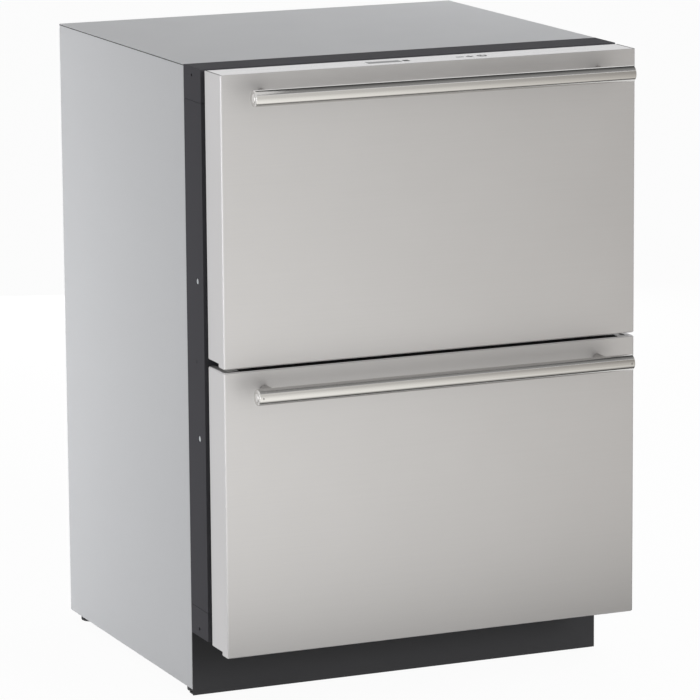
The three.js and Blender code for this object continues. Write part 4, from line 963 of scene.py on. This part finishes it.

# %% [markdown]
# ## Dark lines at the strip's ends
#
# A thin dark piece stands at each end of the control strip, against the folded skin. It is painted
# shade: it stands for the shade in the narrow gap there. It could be a plain box, but its upper edge is
# drawn in a little. So it is four rows of a rectangle: two up its sides, and two on its top, each drawn in
# further than the one before.

# %% Two thin dark pieces, as painted shade
END_SHADOW_WIDTH = 0.0017
END_SHADOW_OUT = 0.0004  # how far the dark piece stands out past the strip's end
END_SHADOW_LIFT = 0.00005  # how far it stands above the strip
END_SHADOW_ROWS = [(-0.0026, 0), (-0.0002, 0), (0, 0.0002), (0, 0.0003)]  # height from the top, and inset


def strip_end_shadow(side, sign):
    """Rows of a rectangle's four corners, each drawn in by its inset."""
    low, high = corners("control_strip")
    outer = sign * (high[0] + END_SHADOW_OUT)
    left, right = sorted((outer, outer - sign * END_SHADOW_WIDTH))
    rise, inset = np.array(END_SHADOW_ROWS).T[:, :, None]
    x = np.hstack([left + inset, right - inset, right - inset, left + inset])
    y = np.hstack([low[1] + inset, low[1] + inset, high[1] - inset, high[1] - inset])
    z = high[2] + END_SHADOW_LIFT + rise + 0 * x
    grid = np.stack([x, y, z], axis=-1)
    end_shadow = shape_piece(f"strip_end_shadow_{side}", *surface(grid, wrap=True, caps=True))
    return add_detail(end_shadow, "upper_drawer", "gasket_rubber")


for side, sign in (("left", -1), ("right", 1)):
    print(strip_end_shadow(side, sign).name, END_SHADOW_WIDTH * 1000, "mm wide")

# %% [markdown]
# ## Screws and plugs
#
# The frame is held at each side by two screws with a shallow dome and a cross recess, and a small plug
# closes the hole between them. Screws of the same kind hold the rear panel along its edges. A recess
# could be cut with a Boolean, which leaves long thin faces. Here a head is a disc worked out on a polar
# grid: the dome falls away with the square of the radius, and two crossed slots are sunk into it.

# %% Screw heads
SLOT_HALF, SLOT_SLOPE = 0.15, 0.06  # half a slot's width and its wall, as shares of the head's radius
SLOT_REACH, SLOT_END = 0.62, 0.1  # how far out a slot goes, and its end wall, as shares of the head's radius
SLOT_DEPTH = 0.55  # share of the head's height
HEAD_RINGS, HEAD_SEGMENTS = 12, 48


def screw_head(place, axis, side, radius, height):
    """A dome with a cross recess; it stands on a place and points along an axis, to the plus or minus side.

    The rise is one less half the square of the distance from the middle. It drops by the recess's depth
    where the point lies within a slot's half width of one of two crossed lines."""
    share = np.append(np.linspace(0.001, 1, HEAD_RINGS), 1)[:, None]
    angle = np.linspace(0, 2 * math.pi, HEAD_SEGMENTS, endpoint=False)
    across, up = share * np.cos(angle), share * np.sin(angle)
    narrow = np.minimum(abs(across), abs(up))
    slot = np.clip((SLOT_HALF - narrow) / SLOT_SLOPE, 0, 1) * np.clip((SLOT_REACH - share) / SLOT_END, 0, 1)
    rise = 1 - share**2 / 2 - SLOT_DEPTH * slot
    rise[-1] = 0
    order = AXIS_ORDER[axis]
    grid = np.zeros((*across.shape, 3))
    grid[..., order[0]] = side * height * rise
    grid[..., order[1]] = radius * across
    grid[..., order[2]] = radius * up
    return surface(grid + np.array(place), wrap=True, caps=True)


print("recess:", round(2 * SLOT_HALF * 100), "percent of the head's radius wide")

# %% Screws and plugs of the frame
FRAME_SCREW_RISE = 0.0014
SHANK_RADIUS = 0.0022
PLUG_PLACE = (0.304, -0.181, 0.4714)
PLUG_RADIUS = 0.0028
PLUG_SINK = 0.0015  # how far it reaches into its hole
PLUG_DOME = (0.0005, 0.0026)  # rise and radius


def frame_screw(node):
    """The screw's head and its shank as one piece."""
    low, high = corners(node)
    side = 1 if high[0] > 0 else -1
    face, end = (high[0], low[0]) if side > 0 else (low[0], high[0])
    seat = face - side * FRAME_SCREW_RISE
    _, y, z = (low + high) / 2
    head = screw_head((seat, y, z), "X", side, (high[2] - low[2]) / 2, FRAME_SCREW_RISE)
    profile = [(seat, 0), (seat, SHANK_RADIUS), (end, SHANK_RADIUS), (end, 0)]
    return dress(shape_piece(f"{node}_cross", *merged(head, turned(profile, (0, y, z), "X", 24))), node)


def frame_plug(side, sign):
    """A short rod with a low dome."""
    x, y, z = PLUG_PLACE
    profile = [(x - PLUG_SINK, 0), (x - PLUG_SINK, PLUG_RADIUS), (x, PLUG_RADIUS)]
    profile += quarter((x, 0), PLUG_DOME, 5)
    profile = [(sign * along, out) for along, out in profile]
    plug = shape_piece(f"frame_plug_{side}", *turned(profile, (0, y, z), "X", 32))
    return add_detail(plug, "cabinet", "black_frame")


places = [f"{side}_{level}" for side in ("left", "right") for level in ("upper", "lower")]
screws = [frame_screw(f"frame_screw_{place}") for place in places]
plugs = [frame_plug(side, sign) for side, sign in (("left", -1), ("right", 1))]
print("frame:", len(screws), "screws and", len(plugs), "plugs")

# %% Screws of the rear panel
PANEL_SCREW = (0.0042, 0.0019)  # radius and height
PANEL_EDGE = 0.012
PANEL_ROWS = 4  # screws up each side
PANEL_INNER_X = 0.1  # the screws between the corners, at the top and at the bottom


def rear_panel_screws():
    """Heads up both sides, and between them at the top and at the bottom, as one piece."""
    low, high = corners("rear_panel")
    side_x, back = high[0] - PANEL_EDGE, high[1]
    bottom, top = low[2] + PANEL_EDGE, high[2] - PANEL_EDGE
    places = [(sign * side_x, z) for sign in (-1, 1) for z in np.linspace(bottom, top, PANEL_ROWS)]
    places += [(sign * PANEL_INNER_X, z) for z in (bottom, top) for sign in (-1, 1)]
    heads = [screw_head((x, back, z), "Y", 1, *PANEL_SCREW) for x, z in places]
    screws = shape_piece("rear_panel_screws", *merged(*heads))
    add_detail(screws, "cabinet", "galvanized_steel")
    return len(heads)


print("rear panel:", rear_panel_screws(), "screws")

# %% [markdown]
# ## Gaskets
#
# A door gasket is extruded rubber, welded at its corners: a flat base that snaps into the door, two thin
# folds that act as a bellows, and a flat bead that holds the magnet. A plain ring would show none of that
# when a drawer is open. So one section is carried round the opening: at each point of the section the
# ring's plan is drawn in by the section's own width there.

# %% A rounded rectangle
SMALLEST_CORNER = 0.0003
CORNER_POINTS = 6


def rounded_plan(half_u, half_v, inset, radius):
    """A rectangle with rounded corners, drawn in by an inset, as (rows, columns) arrays of u and v.

    Each corner is a quarter circle whose radius is the outer radius less the inset."""
    quarter_turns = np.arange(4) * 90
    turn = np.radians((quarter_turns[:, None] + np.linspace(0, 90, CORNER_POINTS)).ravel())
    towards = np.radians(quarter_turns + 45)
    left = np.maximum(radius - inset, SMALLEST_CORNER)
    sign_u = np.sign(np.cos(towards)).repeat(CORNER_POINTS)
    sign_v = np.sign(np.sin(towards)).repeat(CORNER_POINTS)
    u = sign_u * (half_u - inset - left) + left * np.cos(turn)
    v = sign_v * (half_v - inset - left) + left * np.sin(turn)
    return u, v


print("a rounded plan has", rounded_plan(1, 1, np.zeros((1, 1)), 0.1)[0].size, "points")

# %% Bellows
GASKET_SECTION = [  # share of the width from the outer edge, share of the depth from the door
    (0.0, 0.0), (0.0, 0.16), (0.16, 0.2), (0.2, 0.3), (0.02, 0.42), (0.02, 0.5),
    (0.2, 0.62), (0.2, 0.7), (0.04, 0.76), (0.0, 0.84), (0.02, 0.96), (0.08, 1.0),
    (0.92, 1.0), (0.98, 0.96), (1.0, 0.84), (0.96, 0.76), (0.8, 0.7), (0.8, 0.62),
    (0.98, 0.5), (0.98, 0.42), (0.8, 0.3), (0.84, 0.2), (1.0, 0.16), (1.0, 0.0),
]
GASKET_WIDTH = 0.012
GASKET_CORNER = 0.004


def gasket(node):
    """The section carried round the opening and closed on itself."""
    low, high = corners(node)
    across, deep = np.array(GASKET_SECTION + GASKET_SECTION[:1]).T[:, :, None]
    half, middle = (high - low) / 2, (low + high) / 2
    u, v = rounded_plan(half[0], half[2], across * GASKET_WIDTH, GASKET_CORNER)
    y = low[1] + deep * (high[1] - low[1]) + 0 * u
    grid = np.stack([u + middle[0], y, v + middle[2]], axis=-1)
    return dress(shape_piece(f"{node}_bellows", *surface(grid, wrap=True), crease=50), node)


for level in ("upper", "lower"):
    ring = gasket(f"{level}_gasket")
    print(ring.name, len(ring.data.polygons), "faces")

# %% [markdown]
# ## Levelling legs
#
# A leg is a threaded stud in a moulded foot with grips round its rim for the fingers. A Screw modifier
# could make the thread, but its ends stay open. Here the thread is one closed surface: its radius is the
# stud's radius less a triangle wave, and the wave moves along the stud by one pitch for each turn round
# it. The foot's rim dips between its grips in the same way.

# %% Thread
THREAD_PITCH = 0.0015
THREAD_DEPTH = 0.0009
THREAD_SEGMENTS = 24
THREAD_ROWS = 6  # to each pitch


def thread(radius, bottom, top, middle):
    """Rows up the stud. The wave is how far (height / pitch - turn) is from the nearest whole number."""
    rows = int(round((top - bottom) / THREAD_PITCH)) * THREAD_ROWS
    height = np.linspace(bottom, top, rows)[:, None]
    turn = np.arange(THREAD_SEGMENTS) / THREAD_SEGMENTS
    wave = height / THREAD_PITCH - turn
    out = radius - THREAD_DEPTH * 2 * abs(wave - np.round(wave))
    angle = turn * 2 * math.pi
    grid = np.stack([out * np.cos(angle), out * np.sin(angle), height + 0 * out], axis=-1)
    return surface(grid + np.array([*middle, 0]), wrap=True, caps=True)


print("thread pitch:", THREAD_PITCH * 1000, "mm")

# %% Foot
FOOT_HEIGHT = 0.008
RIM_ROWS = [  # how far in from the foot's radius, and height
    (0.0015, 0), (0.0004, 0.0005), (0, 0.0018), (0, 0.006), (0.0006, 0.0072), (0.002, FOOT_HEIGHT),
]
COLLAR_ROWS = [(0.0085, FOOT_HEIGHT), (0.0075, 0.0072), (0.0045, 0.0072)]  # radius and height round the stud
GRIPS = 20
GRIP_POINTS = 6
GRIP_BAND = 0.0012  # the grips fade out this far in from the rim
GRIP_DEPTH = 0.0009


def foot(radius, middle):
    """Rows (radius, height) turned about the stud, with a dip between grips where a row is on the rim."""
    rows = [(0.001, 0)] + [(radius - inwards, height) for inwards, height in RIM_ROWS] + COLLAR_ROWS
    out, up = np.array(rows).T[:, :, None]
    angle = np.linspace(0, 2 * math.pi, GRIPS * GRIP_POINTS, endpoint=False)
    on_rim = np.clip((out - (radius - GRIP_BAND)) / GRIP_BAND, 0, 1)
    reach = out - GRIP_DEPTH * on_rim * (0.5 - 0.5 * np.cos(GRIPS * angle)) ** 3
    grid = np.stack([reach * np.cos(angle), reach * np.sin(angle), up + 0 * reach], axis=-1)
    return surface(grid + np.array([*middle, 0]), wrap=True, caps=True)


print("foot:", GRIPS, "grips")

# %% Four legs
STUD_RADIUS = 0.005
STUD_BOTTOM = 0.0068  # just inside the foot


def leg(node):
    """A foot and a stud, both in the place of the leg."""
    low, high = corners(node)
    middle = (low[:2] + high[:2]) / 2
    dress(shape_piece(f"{node}_foot", *foot((high[0] - low[0]) / 2, middle)), node)
    stud = shape_piece(f"{node}_stud", *thread(STUD_RADIUS, STUD_BOTTOM, high[2], middle))
    return dress(stud, node, finish="galvanized_steel")


for place in ("front_left", "front_right", "rear_left", "rear_right"):
    print(leg(f"leg_{place}").name)

# %% [markdown]
# ## Compressor
#
# Two steel cups are welded at a flange round their middle, and the pot stands on a plate with rubber
# grommets. A cover over the terminals sits on one side, and the suction, discharge and process tubes
# leave its shoulder. Spheres and cylinders would meet in hard lines, so the pot is one turned profile.
# The plate and the cover are blocks with rounded corners, and a tube is a circle carried along a bend.

# %% Pot and plate
PLATE_RISE = 0.010
PLATE_SHEET = 0.003
PLATE_HALF = (0.09, 0.058)
PLATE_EDGES = (0.01, 0.0004)  # radius of its corners, and its small edge
POT_RADIUS = 0.073
POT_DOME = 0.024
SEAM = (0.003, 0.002)  # how far the flange stands out, and half its height
SEAM_FLAT = 0.7  # share of the flange's height that is upright
CUP_STEP = 0.0002  # the wall is wider by this just above the flange


def compressor_pot(middle, bottom, top):
    """A dome, a wall, the flange, and the same upwards, turned about the pot's axis."""
    seam_level = (bottom + top + PLATE_RISE) / 2
    out, half = SEAM
    dome = quarter((0, 0), (POT_DOME, POT_RADIUS), 10)
    profile = [(bottom + POT_DOME - rise, radius) for rise, radius in dome[::-1]]
    profile += [(seam_level - half, POT_RADIUS), (seam_level - half * SEAM_FLAT, POT_RADIUS + out)]
    profile += [(seam_level + half * SEAM_FLAT, POT_RADIUS + out)]
    profile += [(seam_level + half, POT_RADIUS + CUP_STEP)]
    profile += [(top - POT_DOME + rise, radius) for rise, radius in dome]
    return turned(profile, (*middle, 0), "Z", 72)


def rounded_block(low, high, radius, edge):
    """A box whose plan has rounded corners and whose top and bottom edges are drawn in by a small edge."""
    low, high = np.array(low), np.array(high)
    half, middle = (high - low) / 2, (high + low) / 2
    inset = np.array([edge, 0, 0, edge])[:, None]
    up = np.array([low[2], low[2] + edge, high[2] - edge, high[2]])[:, None]
    u, v = rounded_plan(half[0], half[1], inset, radius)
    grid = np.stack([u + middle[0], v + middle[1], up + 0 * u], axis=-1)
    return surface(grid, wrap=True, caps=True)


low, high = corners("compressor")
pot_x, pot_y = (low[:2] + high[:2]) / 2
pan_level = low[2]
plate_low = (pot_x - PLATE_HALF[0], pot_y - PLATE_HALF[1], pan_level + PLATE_RISE)
plate_high = (pot_x + PLATE_HALF[0], pot_y + PLATE_HALF[1], pan_level + PLATE_RISE + PLATE_SHEET)
pot = compressor_pot((pot_x, pot_y), pan_level + PLATE_RISE, high[2])
plate = rounded_block(plate_low, plate_high, *PLATE_EDGES)
piece = dress(shape_piece("compressor_pot", *merged(pot, plate)), "compressor")
print(piece.name, len(piece.data.polygons), "faces")

# %% Grommets and terminal cover
GROMMET_PROFILE = [  # height above the base pan, and radius
    (0, 0), (0, 0.0085), (0.0015, 0.01), (0.007, 0.01), (0.0085, 0.008), (0.0095, 0.0075),
    (0.013, 0.0075), (0.0145, 0.0085), (0.016, 0.0085), (0.0165, 0.0078), (0.0165, 0),
]
GROMMET_PLACE = (0.075, 0.043)  # from the pot's axis
COVER_X, COVER_Y, COVER_Z = (-0.088, -0.066), (-0.022, 0.022), (0.085, 0.132)  # x and y from the pot's axis
COVER_EDGES = (0.004, 0.0015)

profile = [(pan_level + up, out) for up, out in GROMMET_PROFILE]
grommets = [
    turned(profile, (pot_x + sign_x * GROMMET_PLACE[0], pot_y + sign_y * GROMMET_PLACE[1], 0), "Z", 32)
    for sign_x in (-1, 1) for sign_y in (-1, 1)
]
piece = shape_piece("compressor_grommets", *merged(*grommets))
add_detail(piece, "cabinet", "gasket_rubber")

cover_low = (pot_x + COVER_X[0], pot_y + COVER_Y[0], COVER_Z[0])
cover_high = (pot_x + COVER_X[1], pot_y + COVER_Y[1], COVER_Z[1])
cover = shape_piece("compressor_terminal_cover", *rounded_block(cover_low, cover_high, *COVER_EDGES))
add_detail(cover, "cabinet", "black_plastic")
print("grommets:", len(grommets), "and", cover.name)

# %% Tubes along a path
TUBE_SEGMENTS = 16
BEND_POINTS = 9
TUBE_END = 0.012  # length of a bent tube's last straight


def tube(path, radius, up):
    """A circle carried along a path that lies in a plane; up is square to that plane.

    Each ring is spanned by up and by the path's direction turned a quarter in the plane."""
    path = np.array(path, float)
    along = np.gradient(path, axis=0)
    along /= np.linalg.norm(along, axis=1, keepdims=True)
    side = np.cross(along, up)
    side /= np.linalg.norm(side, axis=1, keepdims=True)
    angle = np.linspace(0, 2 * math.pi, TUBE_SEGMENTS, endpoint=False)[:, None]
    rings = path[:, None] + radius * (np.cos(angle) * side[:, None] + np.sin(angle) * np.array(up, float))
    return surface(rings, wrap=True, caps=True)


def bent(start, rise, reach, radius):
    """A path that goes up and then out: a straight, a quarter circle in the plane of reach, a straight."""
    turn = np.linspace(0, math.pi / 2, BEND_POINTS)[:, None]
    reach = np.array(reach, float)
    up = np.array([0, 0, 1.0])
    corner = np.array(start) + up * (rise - radius)
    arc = corner + reach * radius * (1 - np.cos(turn)) + up * radius * np.sin(turn)
    return np.vstack([[start], arc, arc[-1] + reach * TUBE_END])


print("a tube has", TUBE_SEGMENTS, "sides")

# %% Three tubes on the compressor
SHOULDER = 0.150  # height at which the tubes leave the pot
TUBES = [  # foot from the pot's axis, rise, direction, radius of the bend, radius of the tube
    ((0.055, -0.03), 0.04, (0.6, 0.8), 0.012, 0.004),
    ((0.055, 0.03), 0.032, (0.6, -0.8), 0.010, 0.003),
    ((-0.03, 0.055), 0.026, (-1, 0), 0.010, 0.003),
]

tubes = []
for (x, y), rise, (out_x, out_y), bend, radius in TUBES:
    path = bent((pot_x + x, pot_y + y, SHOULDER), rise, (out_x, out_y, 0), bend)
    tubes.append(tube(path, radius, (out_y, -out_x, 0)))
piece = shape_piece("compressor_tubes", *merged(*tubes))
add_detail(piece, "cabinet", "copper_coil")
print(piece.name, len(tubes))

# %% [markdown]
# ## Dark lines along the top joints
#
# Where the top panel lies on the side panels, the joint shows as a fine dark line along each upper edge
# of the cabinet. The line is painted shade: a thin strip of dark rubber stands for the shade in the
# joint. A dark stripe in the paint could stand for it, but it would be sharp and flat. So it is a long
# thin block with rounded corners.

# %% A dark line on each top joint, as painted shade
JOINT_SHADE_WIDTH = 0.0011
JOINT_SHADE_HEIGHT = 0.0012
JOINT_SHADE_OUT = 0.0001  # how far it stands out past the panels
JOINT_SHADE_EDGES = (0.0004, 0.0002)


def joint_shadow_line(side, sign):
    """A dark strip along a side panel's upper edge: painted shade in the joint."""
    low, high = corners(f"{side}_side_panel")
    outer = sign * (max(abs(low[0]), abs(high[0])) + JOINT_SHADE_OUT)
    left, right = sorted((outer, outer - sign * JOINT_SHADE_WIDTH))
    top = corners("top_panel")[0][2] + JOINT_SHADE_OUT
    joint_shade = rounded_block((left, low[1], top - JOINT_SHADE_HEIGHT), (right, high[1], top), *JOINT_SHADE_EDGES)
    return add_detail(shape_piece(f"top_joint_shade_{side}", *joint_shade), "cabinet", "gasket_rubber")


for side, sign in (("left", -1), ("right", 1)):
    print(joint_shadow_line(side, sign).name, JOINT_SHADE_WIDTH * 1000, "mm wide")

# %% [markdown]
# ## A dark strip in the gap between the fronts
#
# The gap between the two fronts looks dark. The dark is painted shade: a narrow strip of black rubber,
# which stands for the shade in the gap, fills it. It could hang from the upper front or lie on the lower
# one. Here it lies on the lower one, just behind its fold, so that it can't be seen from below, and it
# stops short of the ends. It is a flat block with rounded corners.

# %% A dark strip in the gap, as painted shade
GAP_SHADE_ENDS = 0.024
GAP_SHADE_Y = (0.0016, 0.0146)  # behind the face, from and to
GAP_SHADE_Z = (-0.0002, 0.0008)  # from the lower front's top
GAP_SHADE_EDGES = (0.002, 0.0003)

low, high = corners("lower_front_skin")
# painted shade: a dark rubber strip stands for the shade in the narrow gap between the fronts
gap_shade_low = (low[0] + GAP_SHADE_ENDS, low[1] + GAP_SHADE_Y[0], high[2] + GAP_SHADE_Z[0])
gap_shade_high = (high[0] - GAP_SHADE_ENDS, low[1] + GAP_SHADE_Y[1], high[2] + GAP_SHADE_Z[1])
gap_shade_strip = shape_piece("front_gap_painted_shade", *rounded_block(gap_shade_low, gap_shade_high, *GAP_SHADE_EDGES))
add_detail(gap_shade_strip, "lower_drawer", "gasket_rubber")
print(gap_shade_strip.name, round(gap_shade_high[0] - gap_shade_low[0], 3), "m long")

# %% [markdown]
# ## Coils
#
# A heat exchanger is a copper or aluminium tube that runs to and fro through a stack of thin fins. The
# fins of the real coil stand a few millimetres apart, and each is pressed into shallow waves. The solid
# model keeps a few thick ones, and stripes on a block would look solid from the side. Here the whole
# stack is made: one wavy strip, repeated along the tube.

# %% Serpentine tube
COIL_PITCH = 0.040
COIL_TUBE = 0.004
RUN_SHARE = 0.97  # share of a run that is straight
RUN_POINTS, TURN_POINTS = 7, 13


def serpentine(middle, half_run, runs):
    """Level runs along X that climb by one pitch; each bend is half a circle whose diameter is the pitch."""
    turn = np.linspace(0, math.pi, TURN_POINTS)[:, None]
    rows = []
    for run in range(runs):
        side, z = 1 - 2 * (run % 2), run * COIL_PITCH
        reach = np.linspace(-RUN_SHARE, RUN_SHARE, RUN_POINTS)[:, None] * side * half_run
        rows.append(np.hstack([reach, 0 * reach, 0 * reach + z]))
        if run < runs - 1:
            out = side * (half_run + COIL_PITCH / 2 * np.sin(turn))
            rows.append(np.hstack([out, 0 * turn, z + COIL_PITCH / 2 * (1 - np.cos(turn))]))
    return np.vstack(rows) + np.array(middle)


print("coils: runs", COIL_PITCH * 1000, "mm apart")

# %% Fins
FIN_SHEET = 0.0003
FIN_WAVE = 0.0006
FIN_POINTS = 9


def fin_stack(low, high, reach, count):
    """A strip that waves along its depth, closed into a thin sheet and repeated along X."""
    depth = np.linspace(low[1], high[1], FIN_POINTS)
    wave = FIN_WAVE * np.cos(np.arange(FIN_POINTS) * math.pi)
    across = np.concatenate([wave + FIN_SHEET / 2, wave[::-1] - FIN_SHEET / 2])
    y = np.concatenate([depth, depth[::-1]])
    rows = np.array([low[2], high[2]])
    strip = np.stack(np.broadcast_arrays(across, y, rows[:, None]), axis=-1)
    points, faces = surface(strip, wrap=True, caps=True)
    middle = (low[0] + high[0]) / 2
    places = middle + np.linspace(-reach, reach, count)
    return merged(*[(points + np.array([x, 0, 0]), faces) for x in places])


print("fins:", FIN_SHEET * 1000, "mm thick")

# %% Two coils
def coil(node, fins, tube_finish):
    """The tube and its fins, in the space of the node."""
    low, high = corners(node)
    runs = int((high[2] - low[2] - COIL_PITCH) / COIL_PITCH + 0.001) + 1
    half_run = (high[0] - low[0]) / 2 - COIL_PITCH / 2 - 2 * COIL_TUBE
    middle = (low + high) / 2
    middle[2] -= (runs - 1) * COIL_PITCH / 2
    path = serpentine(middle, half_run, runs)
    dress(shape_piece(f"{node}_tube", *tube(path, COIL_TUBE, (0, 1, 0))), node, finish=tube_finish)
    stack = fin_stack(low, high, half_run - 2 * COIL_TUBE, fins)
    dress(shape_piece(f"{node}_fins", *stack), node, finish="aluminium_coil")
    return runs


print("condenser runs:", coil("condenser_coil", 44, "copper_coil"))
print("evaporator runs:", coil("evaporator_coil", 70, "aluminium_coil"))

# %% [markdown]
# ## Fans
#
# A small axial fan is moulded or pressed with blades that twist: steep at the hub, flatter at the tip,
# because the tip moves faster. Flat plates set at an angle would be simpler, but they don't follow the
# hub's curve. So one blade is a grid of distance from the axis and place along the chord, laid on a
# cylinder about the axis, and the other blades are the same grid turned.

# %% Twisted blades
BLADES = 5
HUB_RADIUS = 0.017
BLADE_ROOT = 0.002  # how far a blade starts inside the hub
ROOT_ANGLE, TIP_ANGLE = 0.7, 0.42  # radians between the chord and the fan's plane
ROOT_CHORD = 0.72  # share of the full chord at the hub
TIP_ROUNDING = 0.45  # share of the chord that is lost at the very tip
BLADE_SKIN = 0.0008
CAMBER = 0.08  # how far the blade bulges, as a share of the chord
SWEEP = 0.1  # how far the tip runs ahead, as a share of the chord
BLADE_ROWS, BLADE_COLUMNS = 14, 24


def blade_ring(tip, chord, middle):
    """All blades at once. A point lies across the axis by the cosine and along it by the sine of the chord's
    angle there, and the blade's section is a thin ellipse, bent by its camber."""
    share = np.linspace(0, 1, BLADE_ROWS)[:, None]
    radius = HUB_RADIUS - BLADE_ROOT + share * (tip - HUB_RADIUS + BLADE_ROOT)
    angle = ROOT_ANGLE + (TIP_ANGLE - ROOT_ANGLE) * share
    half = chord / 2 * (ROOT_CHORD + (1 - ROOT_CHORD) * share) * (1 - TIP_ROUNDING * share**10)
    round_section = np.linspace(0, 2 * math.pi, BLADE_COLUMNS, endpoint=False)
    place = np.cos(round_section)
    lift = BLADE_SKIN * np.sin(round_section) + CAMBER * chord * (1 - place**2)
    across = half * place * np.cos(angle) + lift * np.sin(angle) + SWEEP * chord * share**2
    along = -half * place * np.sin(angle) + lift * np.cos(angle)
    turn = across / radius + (np.arange(BLADES) * 2 * math.pi / BLADES)[:, None, None]
    grid = np.stack(np.broadcast_arrays(radius * np.cos(turn), along, radius * np.sin(turn)), axis=-1)
    return merged(*[surface(blade + np.array(middle), wrap=True, caps=True) for blade in grid])


print("blades on each fan:", BLADES)

# %% Hubs and fans
HUB_HALF = 0.007
NOSE = 0.004
CUP_RADIUS = 0.0145  # of the hollow behind the hub
CUP_DEPTH = 0.006
BOSS_RADIUS = 0.006
BORE_RADIUS = 0.003


def rotor(node, tip, chord):
    """Blades on a hub that is a turned cup with a rounded nose, bored for the motor's shaft."""
    low, high = corners(node)
    middle = (low + high) / 2
    seat, floor = -HUB_HALF + NOSE, HUB_HALF - CUP_DEPTH
    hub = [(seat - rise, out) for rise, out in quarter((0, 0), (NOSE, HUB_RADIUS), 7)[::-1]]
    hub += [(HUB_HALF, HUB_RADIUS), (HUB_HALF, CUP_RADIUS), (floor, CUP_RADIUS), (floor, BOSS_RADIUS)]
    hub += [(HUB_HALF, BOSS_RADIUS), (HUB_HALF, BORE_RADIUS), (seat, BORE_RADIUS), (seat, 0)]
    fan = merged(turned(hub, middle, "Y", 48), blade_ring(tip, chord, middle))
    return dress(shape_piece(f"{node}_twisted", *fan), node)


for node, tip, chord in (("condenser_fan_blade", 0.075, 0.030), ("evaporator_fan_blade", 0.050, 0.020)):
    print(rotor(node, tip, chord).name, "reaches", tip * 1000, "mm from its axis")
